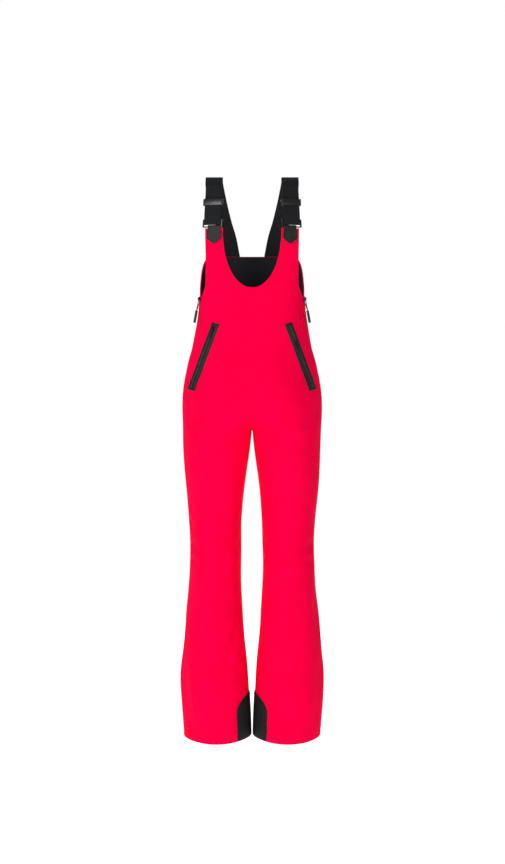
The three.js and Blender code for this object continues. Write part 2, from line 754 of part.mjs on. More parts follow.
// The adjuster is a closed keeper that the strap runs through.
const keeperInnerWidth = strapWidth + 2 * adjusterClearance;
const keeperInnerDepth = strapThickness + 2 * adjusterClearance;
function adjusterGeometry() {
  const outer = roundedRectangle(new THREE.Shape(), keeperInnerWidth + 2 * adjusterWall,
    keeperInnerDepth + 2 * adjusterWall, 1.6);
  outer.holes.push(roundedRectangle(new THREE.Path(), keeperInnerWidth, keeperInnerDepth, 0.4));
  const geometry = extrude(outer, adjusterLength);
  geometry.translate(0, 0, -adjusterLength / 2);
  geometry.rotateX(-Math.PI / 2);
  return geometry;
}

for (const side of sides) {
  const lean = mirrorX(strapUp, side.sign);
  const out = mirrorX(buckleOut, side.sign);
  const buckle = add(`buckle_${side.name}`, buckleGeometry(), finishes.plastic);
  seat(buckle, mirrorX(hingePoint, side.sign), lean, out);
  const adjuster = add(`strap_adjuster_${side.name}`, adjusterGeometry(), finishes.plastic);
  const place = strapLine(upperStart + adjusterTravel + adjusterLength / 2);
  seat(adjuster, mirrorX(place, side.sign), lean, out);
}

// ---------------------------------------------------------------- back patch and hanger loop
const patchTop = backYokeTop - 8;
const patchOutside = 7.4;
add('back_patch', slab(12, 2, (across, along, through) => {
  const x = Math.abs(across * 2 - 1) * patchHalfWidth;
  const z = mix(patchTop, patchTop - patchHeight, along);
  const s = section(z);
  const point = clothPoint(-angleOfX(s, x), z, patchOutside - trimThickness * through);
  return mirrorX(point, Math.sign(across * 2 - 1) || 1);
}), finishes.laminate);

const loopY = clothPoint(-Math.PI / 2, patchTop, patchOutside).y + 2.4;
const loopTopZ = patchTop - patchHeight / 2;
const loopHalf = loopSpread / 2;
const loopOutline = new THREE.Shape();
loopOutline.moveTo(-loopHalf - loopWidth / 2, 0);
loopOutline.lineTo(-loopHalf + 2, -loopDrop);
loopOutline.lineTo(loopHalf - 2, -loopDrop);
loopOutline.lineTo(loopHalf + loopWidth / 2, 0);
const loopHole = new THREE.Path();
loopHole.moveTo(-loopHalf + loopWidth / 2, -loopWidth);
loopHole.lineTo(-loopHalf + loopWidth / 2 + 3, -loopDrop + loopWidth);
loopHole.lineTo(loopHalf - loopWidth / 2 - 3, -loopDrop + loopWidth);
loopHole.lineTo(loopHalf - loopWidth / 2, -loopWidth);
loopOutline.holes.push(loopHole);
const loop = add('hanger_loop', extrude(loopOutline, loopThickness), finishes.webbing);
loop.rotation.x = Math.PI / 2;
loop.position.set(0, loopY + loopThickness, loopTopZ);

export default pants;
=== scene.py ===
# %% [markdown]
# # Ski bib pants
# The finished look of a pair of ski bib pants, built around a fixed frame. The frame gives
# the bodies that move and the plain solids; this lesson gives the cloth, webbing and trims.
# Sizes below are in millimetres and are turned into metres where a mesh is made.

# %% Load the frame
import math
from functools import lru_cache

import bmesh
import bpy
from mathutils import Matrix, Vector, noise


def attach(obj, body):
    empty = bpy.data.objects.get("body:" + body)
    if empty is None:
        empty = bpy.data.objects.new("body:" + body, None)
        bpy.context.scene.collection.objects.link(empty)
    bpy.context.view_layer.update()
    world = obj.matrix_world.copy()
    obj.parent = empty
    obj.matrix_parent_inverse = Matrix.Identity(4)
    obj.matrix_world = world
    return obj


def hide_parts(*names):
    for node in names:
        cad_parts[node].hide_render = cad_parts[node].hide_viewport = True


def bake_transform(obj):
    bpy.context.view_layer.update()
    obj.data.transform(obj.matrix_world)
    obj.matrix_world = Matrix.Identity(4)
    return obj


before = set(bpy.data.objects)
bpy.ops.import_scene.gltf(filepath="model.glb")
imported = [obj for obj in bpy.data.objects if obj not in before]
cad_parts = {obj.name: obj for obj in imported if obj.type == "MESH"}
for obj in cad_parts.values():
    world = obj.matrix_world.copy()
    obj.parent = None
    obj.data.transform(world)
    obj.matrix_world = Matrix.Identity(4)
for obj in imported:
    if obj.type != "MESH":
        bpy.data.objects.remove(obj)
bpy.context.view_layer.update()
MM = 0.001

# %% [markdown]
# The camera stands level at half the garment's height, far enough back that the garment
# is seen almost without perspective, as is usual for a catalogue.

# %% Camera
CAMERA_DISTANCE = 4.6
CAMERA_HEIGHT = -0.635
FILM = 36
LENS = 76.7
camera_data = bpy.data.cameras.new("catalogue_camera")
camera_data.sensor_fit = "VERTICAL"
camera_data.sensor_height = FILM
camera_data.lens = LENS
camera = bpy.data.objects.new("catalogue_camera", camera_data)
camera.location = (0.001, -CAMERA_DISTANCE, CAMERA_HEIGHT)
camera.rotation_euler = (math.pi / 2, 0, 0)
bpy.context.scene.collection.objects.link(camera)
bpy.context.scene.camera = camera
bpy.context.scene.view_settings.view_transform = "Standard"
print("camera at", tuple(camera.location))

# %% [markdown]
# Colours are written as they are read off a screen (sRGB hex) and turned into the linear
# values that the shader works in by one function. One more function adds any shader node.

# %% Colour and node helpers
def linear(hex_colour):
    channels = []
    for i in (0, 2, 4):
        c = int(hex_colour[i:i + 2], 16) / 255
        channels.append(c / 12.92 if c <= 0.04045 else ((c + 0.055) / 1.055) ** 2.4)
    return (*channels, 1)


def add_node(tree, kind, inputs=None, **settings):
    made = tree.nodes.new(kind)
    for key, value in settings.items():
        setattr(made, key, value)
    for socket, value in (inputs or {}).items():
        if isinstance(value, bpy.types.NodeSocket):
            tree.links.new(value, made.inputs[socket])
        else:
            made.inputs[socket].default_value = value
    return made


def new_material(name, **shader):
    material = bpy.data.materials.new(name)
    material.use_nodes = True
    tree = material.node_tree
    surface = tree.nodes["Principled BSDF"]
    for socket, value in shader.items():
        surface.inputs[socket.replace("_", " ")].default_value = value
    return material, tree, surface


print("middle grey on screen is", round(linear("808080")[0], 3), "in linear light")

# %% [markdown]
# Light: a large soft key from the viewer's left, weak fills from the right and below, and
# one softbox behind for the back. The floor is a round sheet of paper that glows a little,
# as a lit sweep does, so that it and the white surroundings show no horizon from any side.

# %% Studio
FLOOR = -1.56
FLOOR_RADIUS = 7

floor_shape = bmesh.new()
bmesh.ops.create_circle(floor_shape, cap_ends=True, segments=96, radius=FLOOR_RADIUS,
                        matrix=Matrix.Translation((0, 0, FLOOR)))
floor_data = bpy.data.meshes.new("studio_floor")
floor_shape.to_mesh(floor_data)
floor_shape.free()
floor = bpy.data.objects.new("studio_floor", floor_data)
bpy.context.scene.collection.objects.link(floor)
paper, _, _ = new_material("white_background_paper", Base_Color=linear("FAFAFA"), Roughness=1.0,
                           Emission_Color=(1, 1, 1, 1), Emission_Strength=0.70)
floor_data.materials.append(paper)

world = bpy.data.worlds.new("soft_daylight")
world.use_nodes = True
sky = world.node_tree
seen = add_node(sky, "ShaderNodeLightPath").outputs["Is Camera Ray"]
white = add_node(sky, "ShaderNodeBackground", {"Color": (1, 1, 1, 1), "Strength": 1.0})
ambient = sky.nodes["Background"]
ambient.inputs["Color"].default_value = (1, 1, 1, 1)
ambient.inputs["Strength"].default_value = 0.30
both = add_node(sky, "ShaderNodeMixShader", {0: seen})
sky.links.new(ambient.outputs[0], both.inputs[1])
sky.links.new(white.outputs[0], both.inputs[2])
sky.links.new(both.outputs[0], sky.nodes["World Output"].inputs["Surface"])
bpy.context.scene.world = world


def soft_light(name, place, aim, size, power):
    data = bpy.data.lights.new(name, "AREA")
    data.shape = "DISK"
    data.size = size
    data.energy = power
    light = bpy.data.objects.new(name, data)
    light.location = place
    light.rotation_euler = (Vector(aim) - Vector(place)).to_track_quat("-Z", "Y").to_euler()
    bpy.context.scene.collection.objects.link(light)


soft_light("key_softbox", (-1.9, -3.0, 0.5), (0, 0, -0.75), 1.5, 49)
soft_light("fill_softbox", (1.6, -3.4, -0.4), (0, 0, -0.8), 1.6, 10)
soft_light("low_softbox", (-0.4, -3.4, -1.2), (0, 0, -1.0), 1.5, 14)
soft_light("back_softbox", (0, 4.2, 0.4), (0, 0, -0.7), 2.4, 70)
print("studio ready")

# %% [markdown]
# The cut of the garment. Each half is an ellipse at every height: `outer` and `inner` are
# its distances from the middle, `depth` is half its front-to-back size and `middle` says
# where its centre lies. Above the crotch the ellipse slides towards the middle plane until
# both halves share one centre. These are the same driving sizes that the frame is cut to.

# %% Cut of the garment
BIB_TOP = -135
NECK_BOTTOM = -281
SIDE_STEP = -297
WAIST_SEAM = -332
LOW_WAIST = -417
UPPER_HIP = -470
HIP = -545
CROTCH = -630
KNEE = -925
HEM = -1392
BACK_YOKE_TOP = -188
FORK_START = -440
SEAM_REACHES_SIDE = -526
HEM_DIP = 10
CLOTH = 3

STATIONS = [
    (BIB_TOP, 160, 0.4, 100, 0),
    (SIDE_STEP, 133, 0.4, 97, 0),
    (LOW_WAIST, 148, 0.4, 103, 5),
    (UPPER_HIP, 162, 0.4, 109, 8),
    (HIP, 174, 0.4, 116, 11),
    (CROTCH, 173, 0.4, 108, 10),
    (CROTCH + (KNEE - CROTCH) * 0.4, 167, 15, 96, 6),
    (CROTCH + (KNEE - CROTCH) * 0.75, 158, 25, 86, 3),
    (KNEE, 154, 27, 80, 2),
    (KNEE + (HEM - KNEE) * 0.2, 159, 26, 81, 4),
    (KNEE + (HEM - KNEE) * 0.42, 168, 20, 87, 8),
    (KNEE + (HEM - KNEE) * 0.7, 177, 8, 94, 10),
    (HEM, 172, 3.5, 97, 10),
]
SQUARENESS = [(BIB_TOP, 2.6), (SIDE_STEP, 2.3), (HIP, 2)]
SIDE_SEAM = [(BIB_TOP, 116), (-272, 116), (SIDE_STEP, 124), (LOW_WAIST, 127)]
NECK_HALF_WIDTH = 72
NECK_ROUNDNESS = 2.3


def mix(a, b, t):
    return a + (b - a) * t


def clamp01(t):
    return min(1.0, max(0.0, t))


def smooth(t):
    t = clamp01(t)
    return t * t * (3 - 2 * t)


def follow(pairs, z):
    """A smooth curve through (height, value) pairs whose heights run downwards."""
    last = len(pairs) - 1
    if z >= pairs[0][0]:
        return pairs[0][1]
    if z <= pairs[last][0]:
        return pairs[last][1]
    i = 0
    while z < pairs[i + 1][0]:
        i += 1

    def slope(k):
        a, b = max(0, k - 1), min(last, k + 1)
        return (pairs[b][1] - pairs[a][1]) / (pairs[b][0] - pairs[a][0])

    span = pairs[i + 1][0] - pairs[i][0]
    t = (z - pairs[i][0]) / span
    t2, t3 = t * t, t * t * t
    return (pairs[i][1] * (2 * t3 - 3 * t2 + 1) + slope(i) * span * (t3 - 2 * t2 + t)
            + pairs[i + 1][1] * (3 * t2 - 2 * t3) + slope(i + 1) * span * (t3 - t2))


PROFILES = [[(s[0], s[k]) for s in STATIONS] for k in (1, 2, 3, 4)]


@lru_cache(maxsize=None)
def section(z):
    outer, inner, depth, middle = (follow(pairs, z) for pairs in PROFILES)
    forked = clamp01((FORK_START - z) / (FORK_START - CROTCH)) ** 2
    if z > CROTCH:
        inner = 0.4
        centre = outer / 2 * forked
    else:
        centre = (outer + inner) / 2
    return centre, outer - centre, inner, depth, middle, follow(SQUARENESS, z)


def signed_power(value, power):
    return math.copysign(abs(value) ** power, value)


def angle_of_x(z, x):
    centre, half, _, _, _, power = section(z)
    return math.acos(signed_power(max(-1, min(1, (x - centre) / half)), power / 2))


@lru_cache(maxsize=None)
def seam_angle(z):
    if z > LOW_WAIST:
        return angle_of_x(z, follow(SIDE_SEAM, z))
    low = angle_of_x(LOW_WAIST, follow(SIDE_SEAM, LOW_WAIST))
    return low * (1 - smooth((LOW_WAIST - z) / (LOW_WAIST - SEAM_REACHES_SIDE)))


@lru_cache(maxsize=None)
def inner_angle(z):
    return angle_of_x(z, 0 if z > CROTCH else section(z)[2])


def neck_x(z, half=NECK_HALF_WIDTH, bottom=NECK_BOTTOM):
    t = clamp01((z - BIB_TOP) / (bottom - BIB_TOP))
    return half * math.sqrt(max(0, 1 - t ** NECK_ROUNDNESS))


def neck_angle(z):
    return angle_of_x(z, neck_x(z))


print("hip width", 2 * section(HIP)[1] + 2 * section(HIP)[0], "mm")

# %% [markdown]
# The pocket zip is stiffer than the cloth, so the cloth is drawn straight along it. The
# same line places the welt, the zip's teeth and the stitching.

# %% Pocket line
POCKET_TOP = (90, -372)
POCKET_BOTTOM = (149, -528)
POCKET_REACH = 55
POCKET_RUN = (POCKET_BOTTOM[0] - POCKET_TOP[0], POCKET_BOTTOM[1] - POCKET_TOP[1])
POCKET_LENGTH = math.hypot(*POCKET_RUN)


def front_y(z, x):
    _, _, _, depth, middle, power = section(z)
    return middle - depth * signed_power(math.sin(angle_of_x(z, x)), 2 / power)


def pocket_place(x, z):
    """How far along the pocket's line a point is, and how far off it."""
    dx, dz = x - POCKET_TOP[0], z - POCKET_TOP[1]
    along = (dx * POCKET_RUN[0] + dz * POCKET_RUN[1]) / POCKET_LENGTH
    aside = abs(dx * POCKET_RUN[1] - dz * POCKET_RUN[0]) / POCKET_LENGTH
    past = abs(along - clamp01(along / POCKET_LENGTH) * POCKET_LENGTH)
    return clamp01(along / POCKET_LENGTH), math.hypot(aside, past)


def pocket_draw(x, z):
    t, distance = pocket_place(x, z)
    if distance >= POCKET_REACH:
        return 0
    line_z = round(mix(POCKET_TOP[1], POCKET_BOTTOM[1], t), 2)
    curved = front_y(line_z, mix(POCKET_TOP[0], POCKET_BOTTOM[0], t))
    straight = mix(front_y(POCKET_TOP[1], POCKET_TOP[0]), front_y(POCKET_BOTTOM[1], POCKET_BOTTOM[0]), t)
    return (straight - curved) * smooth(1 - distance / POCKET_REACH)


print("pocket length", round(POCKET_LENGTH), "mm")

# %% [markdown]
# Folds. A crease is a soft groove between two points of the cloth, with a low ridge on each
# side, as pulled cloth makes. Angles go round the leg from 0 at the outer side: positive
# over the front, negative over the back. A slow unevenness is laid over them all. Near the
# pockets, the side zips and the straps the cloth is held, so the folds fade out there. Each
# crease is written as its two ends (angle in degrees, height), its width and its depth.

# %% Folds
CREASES = {
    "both": [
        ((140, -640), (105, -672), 10, 2.2), ((150, -612), (120, -622), 9, 1.8),
        ((165, -672), (128, -730), 12, 1.6), ((20, -560), (62, -640), 22, 1.4),
        ((8, -905), (75, -930), 13, 1.8), ((172, -900), (110, -935), 13, 1.8),
        ((12, -960), (66, -948), 11, 1.4), ((165, -975), (118, -958), 11, 1.2),
        ((-25, -905), (-95, -922), 9, 3.0), ((-155, -900), (-90, -925), 9, 3.0),
        ((-30, -948), (-100, -938), 10, 2.6), ((-160, -962), (-95, -950), 10, 2.4),
        ((-60, -618), (-118, -650), 12, 3.4), ((-75, -645), (-135, -668), 11, 2.6),
        ((-100, -585), (-140, -640), 14, 2.2), ((-40, -560), (-85, -600), 20, 2.0),
        ((60, -1290), (110, -1345), 22, 1.6), ((-50, -1240), (-120, -1330), 24, 2.4),
        ((25, -1180), (40, -1380), 20, 2.6), ((-20, -1150), (-30, -1385), 26, 2.4),
    ],
    "left": [
        ((22, -1010), (34, -1200), 18, 2.4), ((60, -800), (20, -852), 14, 1.2),
        ((95, -1352), (140, -1376), 12, 1.4), ((50, -705), (16, -742), 16, 1.0),
    ],
    "right": [
        ((14, -792), (38, -838), 9, 1.9), ((10, -838), (34, -880), 9, 1.7),
        ((40, -946), (8, -958), 5, 2.2), ((150, -1080), (96, -1262), 16, 2.4),
        ((128, -1060), (84, -1170), 18, 1.4), ((70, -1340), (30, -1378), 14, 1.5),
    ],
}
SLOW_WAVE = 2.6
RIDGE = 0.35
CREASE_GAIN = 1.4


def crease_depth(angle, z, crease, radius):
    (a0, z0), (a1, z1), width, depth = crease
    x0, x1 = math.radians(a0) * radius, math.radians(a1) * radius
    px, pz = angle * radius - x0, z - z0
    dx, dz = x1 - x0, z1 - z0
    t = clamp01((px * dx + pz * dz) / (dx * dx + dz * dz))
    far = math.hypot(px - t * dx, pz - t * dz) / width
    if far > 3.2:
        return 0
    taper = smooth(t / 0.3) * smooth((1 - t) / 0.3) if 0 < t < 1 else 0
    return CREASE_GAIN * depth * taper * (-math.exp(-far * far) + RIDGE * math.exp(-(far - 1.5) ** 2 * 2.2))


def loose(x, z):
    """1 where the cloth is free to fold, 0 where trims hold it."""
    pocket = smooth((pocket_place(x, z)[1] - 14) / 30)
    bib = smooth((-310 - z) / 120)
    return pocket * bib


def fold(side, angle, z):
    centre, half, _, depth, _, _ = section(z)
    radius = (half + depth) / 2
    name = "left" if side > 0 else "right"
    total = 0
    for crease in CREASES["both"] + CREASES[name]:
        total += crease_depth(angle, z, crease, radius)
    across = centre + half * math.cos(angle)
    seed = Vector((across * side / 75, math.sin(angle) * 1.1, z / 120))
    total += SLOW_WAVE * noise.noise(seed)
    beyond = across if angle > 0 else 2 * (centre + half) - across
    return total * loose(beyond, z)


def cloth_point(side, angle, z, lift=0, folds=True):
    """A point of the cloth in metres; side is 1 for the wearer's left and -1 for the right."""
    z = round(z, 2)
    centre, half, _, depth, middle, power = section(z)
    cos, sin = math.cos(angle), math.sin(angle)
    out = Vector((signed_power(cos, 2 - 2 / power) / half, -signed_power(sin, 2 - 2 / power) / depth, 0))
    out.normalize()
    x = centre + half * signed_power(cos, 2 / power)
    y = middle - depth * signed_power(sin, 2 / power)
    if sin > 0:
        y += pocket_draw(x, z)
    if folds:
        lift = lift + fold(side, angle, z)
    if z > CROTCH:  # the two halves stay joined at the middle
        out.x *= smooth(x / 14)
    return Vector(((x + out.x * lift) * side, y + out.y * lift, z)) * MM


print("creases on both legs, and more on the left and right:", [len(c) for c in CREASES.values()])

# %% [markdown]
# The outer cloth is a stretch softshell: a woven polyester face bonded to a brushed knit.
# Its face is matt, so its gloss is low and tinted by the dye; the short fibres give a
# sheen at grazing angles. The real twill is about 0.5 mm wide, too fine to show, so it is
# drawn three times as coarse. A slow change of tone stands for dye and handling.

# %% Softshell cloth
def cloth_place(tree):
    return add_node(tree, "ShaderNodeTexCoord").outputs["UV"]


def body_place(tree):
    return add_node(tree, "ShaderNodeTexCoord").outputs["Object"]


BAND = 0.314


def waves(tree, place, pitch_mm, turn_degrees, **settings):
    """Parallel ribs of a given pitch; the wave texture repeats every 0.314 of its unit."""
    turned = add_node(tree, "ShaderNodeMapping",
                      {"Vector": place, "Rotation": (0, 0, math.radians(turn_degrees))})
    return add_node(tree, "ShaderNodeTexWave",
                    {"Vector": turned.outputs["Vector"], "Scale": BAND / (pitch_mm * MM),
                     "Distortion": 0.4, "Detail": 1.0}, **settings).outputs["Fac"]


def speckle(tree, place, size_mm, detail=3.0):
    return add_node(tree, "ShaderNodeTexNoise",
                    {"Vector": place, "Scale": 1 / (size_mm * MM), "Detail": detail}).outputs["Fac"]


def between(tree, share, low_hex, high_hex, low_at=0.3, high_at=0.7):
    ramp = add_node(tree, "ShaderNodeValToRGB", {"Fac": share})
    ramp.color_ramp.elements[0].position = low_at
    ramp.color_ramp.elements[0].color = linear(low_hex)
    ramp.color_ramp.elements[1].position = high_at
    ramp.color_ramp.elements[1].color = linear(high_hex)
    return ramp.outputs["Color"]


def raise_surface(tree, surface, height, depth_mm, under=None):
    inputs = {"Height": height, "Strength": 1.0, "Distance": depth_mm * MM}
    if under is not None:
        inputs["Normal"] = under
    bump = add_node(tree, "ShaderNodeBump", inputs)
    tree.links.new(bump.outputs["Normal"], surface.inputs["Normal"])
    return bump.outputs["Normal"]


softshell, tree, surface = new_material(
    "softshell_polyester_twill", Specular_IOR_Level=0.04, Specular_Tint=linear("FF3060"),
    Sheen_Weight=0.03, Sheen_Roughness=0.5, Sheen_Tint=linear("FF003C"))
tone = speckle(tree, body_place(tree), 90, 2.0)
tree.links.new(between(tree, tone, "F4003E", "FF0044", 0.25, 0.75), surface.inputs["Base Color"])
fibre = speckle(tree, cloth_place(tree), 2.2)
roughness = add_node(tree, "ShaderNodeMapRange", {"Value": fibre, "To Min": 0.72, "To Max": 0.9})
tree.links.new(roughness.outputs["Result"], surface.inputs["Roughness"])
puckers = raise_surface(tree, surface, speckle(tree, body_place(tree), 14, 2.0), 0.35)
raise_surface(tree, surface, waves(tree, cloth_place(tree), 1.6, 58), 0.12, puckers)
print("made", softshell.name)

# %% [markdown]
# The inside face is the brushed knit, charcoal and without gloss. Nylon gaiters, facings
# and pocket bags are a plain smooth weave of nearly the same colour with a little shine.

# %% Brushed knit and lining taffeta
brushed_knit, tree, surface = new_material(
    "brushed_knit_backing", Roughness=0.95, Specular_IOR_Level=0.2, Sheen_Weight=0.35,
    Sheen_Roughness=0.4, Sheen_Tint=linear("8A8A90"))
tree.links.new(between(tree, speckle(tree, cloth_place(tree), 3.0), "1B1B1D", "2C2C30"),
               surface.inputs["Base Color"])
raise_surface(tree, surface, speckle(tree, cloth_place(tree), 1.4), 0.25)

taffeta, tree, surface = new_material("nylon_lining_taffeta", Specular_IOR_Level=0.4)
tree.links.new(between(tree, speckle(tree, cloth_place(tree), 40, 2.0), "1A1A1C", "252528"),
               surface.inputs["Base Color"])
surface.inputs["Roughness"].default_value = 0.55
folds_in_lining = raise_surface(tree, surface, speckle(tree, cloth_place(tree), 9, 2.0), 0.3)
raise_surface(tree, surface, waves(tree, cloth_place(tree), 1.2, 0), 0.05, folds_in_lining)
print("made", brushed_knit.name, "and", taffeta.name)

# %% [markdown]
# Shoulder straps are woven polyester webbing. Thick weft gives ribs straight across it,
# about 1.5 mm apart and drawn 2.2 mm apart to show, and the warp runs along its length.

# %% Webbing
webbing, tree, surface = new_material(
    "woven_polyester_webbing", Roughness=0.78, Specular_IOR_Level=0.2, Sheen_Weight=0.05,
    Sheen_Tint=linear("9A9AA0"))
across_ribs = waves(tree, cloth_place(tree), 2.2, 90)
along_warp = waves(tree, cloth_place(tree), 1.3, 0)
weave = add_node(tree, "ShaderNodeMath", {0: across_ribs, 1: along_warp}, operation="MULTIPLY")
tree.links.new(between(tree, weave.outputs["Value"], "101113", "222327", 0.05, 0.8),
               surface.inputs["Base Color"])
raise_surface(tree, surface, weave.outputs["Value"], 0.28)
print("made", webbing.name)

# %% [markdown]
# Pocket welts, strap tabs and the back patch are fabric under a welded polyurethane film.
# The film is nearly black with a satin gloss and the fine pebble of the release paper.

# %% Welded film
welded_film, tree, surface = new_material("welded_polyurethane_film", Specular_IOR_Level=0.28)
tree.links.new(between(tree, speckle(tree, body_place(tree), 12, 2.0), "151413", "22211F"),
               surface.inputs["Base Color"])
film_gloss = add_node(tree, "ShaderNodeMapRange", {"Value": speckle(tree, body_place(tree), 5),
                                                   "To Min": 0.46, "To Max": 0.62})
tree.links.new(film_gloss.outputs["Result"], surface.inputs["Roughness"])
raise_surface(tree, surface, speckle(tree, body_place(tree), 1.1, 2.0), 0.08)
print("made", welded_film.name)

# %% [markdown]
# Zip teeth are a drawn nylon monofilament, a little clear and shiny. The scuff guards are
# heavy nylon in a basket weave, two threads by two, drawn with a pitch of 4 mm so that it
# shows. Buckles, sliders and grips are injection-moulded acetal with a fine spark-eroded
# grain. Sewing thread is twisted polyester.

# %% Trims
nylon_coil, tree, surface = new_material("nylon_zip_coil", Roughness=0.34, Specular_IOR_Level=0.5)
tree.links.new(between(tree, speckle(tree, body_place(tree), 6), "2A2926", "403E3A"),
               surface.inputs["Base Color"])
raise_surface(tree, surface, speckle(tree, body_place(tree), 0.8), 0.03)

dyed_coil, tree, surface = new_material("nylon_zip_coil_dyed", Roughness=0.45,
                                        Specular_IOR_Level=0.2, Specular_Tint=linear("FF3060"))
tree.links.new(between(tree, speckle(tree, body_place(tree), 6), "B80030", "D4003A"),
               surface.inputs["Base Color"])
raise_surface(tree, surface, speckle(tree, body_place(tree), 0.8), 0.03)

scuff_nylon, tree, surface = new_material("basket_weave_nylon", Roughness=0.7,
                                          Specular_IOR_Level=0.22)
down = waves(tree, cloth_place(tree), 4.0, 0)
over = waves(tree, cloth_place(tree), 4.0, 90)
basket = add_node(tree, "ShaderNodeMath", {0: down, 1: over}, operation="MAXIMUM")
tree.links.new(between(tree, basket.outputs["Value"], "0C0E0D", "202322", 0.2, 0.95),
               surface.inputs["Base Color"])
raise_surface(tree, surface, basket.outputs["Value"], 0.35)

acetal, tree, surface = new_material("moulded_black_acetal", Specular_IOR_Level=0.5, IOR=1.48)
tree.links.new(between(tree, speckle(tree, body_place(tree), 8), "0E0E10", "1A1A1C"),
               surface.inputs["Base Color"])
moulded = add_node(tree, "ShaderNodeMapRange", {"Value": speckle(tree, body_place(tree), 4),
                                                "To Min": 0.26, "To Max": 0.4})
tree.links.new(moulded.outputs["Result"], surface.inputs["Roughness"])
raise_surface(tree, surface, speckle(tree, body_place(tree), 0.6, 2.0), 0.03)


def thread_material(name, dark, light):
    thread, tree, surface = new_material(name, Roughness=0.6, Specular_IOR_Level=0.15,
                                         Specular_Tint=linear(light))
    twist = waves(tree, body_place(tree), 0.7, 35)
    tree.links.new(between(tree, twist, dark, light), surface.inputs["Base Color"])
    raise_surface(tree, surface, twist, 0.08)
    return thread


red_thread = thread_material("twisted_thread_red", "D0002F", "F21A4C")
black_thread = thread_material("twisted_thread_black", "141416", "2E2E32")
print("made", nylon_coil.name, scuff_nylon.name, acetal.name)

# %% [markdown]
# Every cloth piece is a grid whose points are placed on the cut, then given a thickness
# inwards. Points crowd at the edges, where the cloth is turned under and rounds off. Its UV
# map is in metres along and across the piece, so that a weave keeps its real size.

# %% Cloth piece
EDGE_BAND = 4.0
EDGE_DROP = 1.1
ROW = 4.6


def spaced(length, pitch=ROW):
    """Places from 0 to 1 along a length in millimetres, close together at both ends."""
    edge = min(0.3, EDGE_BAND / length)
    count = max(2, round(length * (1 - 2 * edge) / pitch))
    middle = [edge + (1 - 2 * edge) * k / count for k in range(count + 1)]
    return [0, edge * 0.3, edge * 0.65, *middle, 1 - edge * 0.65, 1 - edge * 0.3, 1]


def bake(piece):
    """Applies a piece's modifiers to its mesh."""
    graph = bpy.context.evaluated_depsgraph_get()
    finished = bpy.data.meshes.new_from_object(piece.evaluated_get(graph))
    piece.modifiers.clear()
    rough = piece.data
    piece.data = finished
    bpy.data.meshes.remove(rough)


def make_piece(name, shape, finishes, sharp=40):
    data = bpy.data.meshes.new(name)
    shape.to_mesh(data)
    shape.free()
    for finish in finishes:
        data.materials.append(finish)
    data.shade_smooth()
    data.set_sharp_from_angle(angle=math.radians(sharp))
    piece = bpy.data.objects.new(name, data)
    bpy.context.scene.collection.objects.link(piece)
    return piece


def cloth_grid(name, across, along, place, thickness, finishes):
    """A sheet of cloth; place(u, v) gives its outer face in metres."""
    shape = bmesh.new()
    columns, rows = len(across) - 1, len(along) - 1
    bmesh.ops.create_grid(shape, x_segments=columns, y_segments=rows, size=0.5)
    uv = shape.loops.layers.uv.new("UVMap")
    corner = {}
    for vert in shape.verts:
        i, j = round((vert.co.x + 0.5) * columns), round((0.5 - vert.co.y) * rows)
        corner[i, j] = vert
        vert.co = place(across[i], along[j])
    flat = {}
    for j in range(rows + 1):
        run = 0
        for i in range(columns + 1):
            run += (corner[i, j].co - corner[i - 1, j].co).length if i else 0
            flat[corner[i, j]] = run
        width = run / 2
        for i in range(columns + 1):
            down = 0 if j == 0 else (corner[i, j].co - corner[i, j - 1].co).length
            above = 0 if j == 0 else flat[corner[i, j - 1]].y
            flat[corner[i, j]] = Vector((flat[corner[i, j]] - width, above - down))
    for face in shape.faces:
        for loop in face.loops:
            loop[uv].uv = flat[loop.vert]
    shape.normal_update()
    outward = 0
    for face in shape.faces:
        middle = face.calc_center_median()
        z = round(middle.z / MM, 2)
        axis = Vector((math.copysign(section(z)[0] * MM, middle.x), section(z)[4] * MM, middle.z))
        outward += face.normal.dot(middle - axis) * face.calc_area()
    if outward < 0:
        bmesh.ops.reverse_faces(shape, faces=shape.faces)
    area = sum(face.calc_area() for face in shape.faces)
    piece = make_piece(name, shape, [finishes[0], finishes[-1]])
    wall = piece.modifiers.new("wall", "SOLIDIFY")
    wall.thickness = thickness * MM
    wall.offset = -1
    wall.use_even_offset = True
    wall.material_offset = 1
    bake(piece)
    piece.data.set_sharp_from_angle(angle=math.radians(50))
    return piece


print("cloth pieces have a grid of about", ROW, "mm")

# %% [markdown]
# The body of the garment: a front and a back for each side, each split where nothing shows
# into an upper part and a lower part. The bib's top and neckline are part of the front.
# All edges meet their neighbour's exactly.

# %% Bib, waist and legs
SPLIT = -780
SHELL = 2.4
LEG_ARC = 265


def curl(distance):
    return (1 - min(1, max(0, distance) / EDGE_BAND)) ** 2


def panel_place(side, start, stop, top, bottom, lift=0, curls=(0, 0, 0, 0), heights=None):
    """Returns place(u, v); curls say which of the start, stop, top and bottom edges turn in."""
    def place(u, v):
        z = heights(u, v) if heights else mix(top(u), bottom(u), v)
        a, b = start(z), stop(z)
        centre, half, _, depth, _, _ = section(round(z, 2))
        arc = (half + depth) / 2 * abs(b - a)
        begun, ended = ([c(z) if callable(c) else c for c in curls[:2]])
        drop = max(begun * curl(u * arc), ended * curl((1 - u) * arc),
                   curls[2] * curl(top(u) - z), curls[3] * curl(z - bottom(u)))
        return cloth_point(side, mix(a, b, u), z, lift - EDGE_DROP * drop)
    return place


def front_stop(z):
    return neck_angle(z) if z > NECK_BOTTOM else inner_angle(z)


def back_stop(z):
    return -inner_angle(z)


def hem_at(u):
    return HEM - HEM_DIP * math.sin(u * math.pi) ** 2


BIB_ROWS = 40
BODY_ROWS = round((NECK_BOTTOM - SPLIT) / ROW)


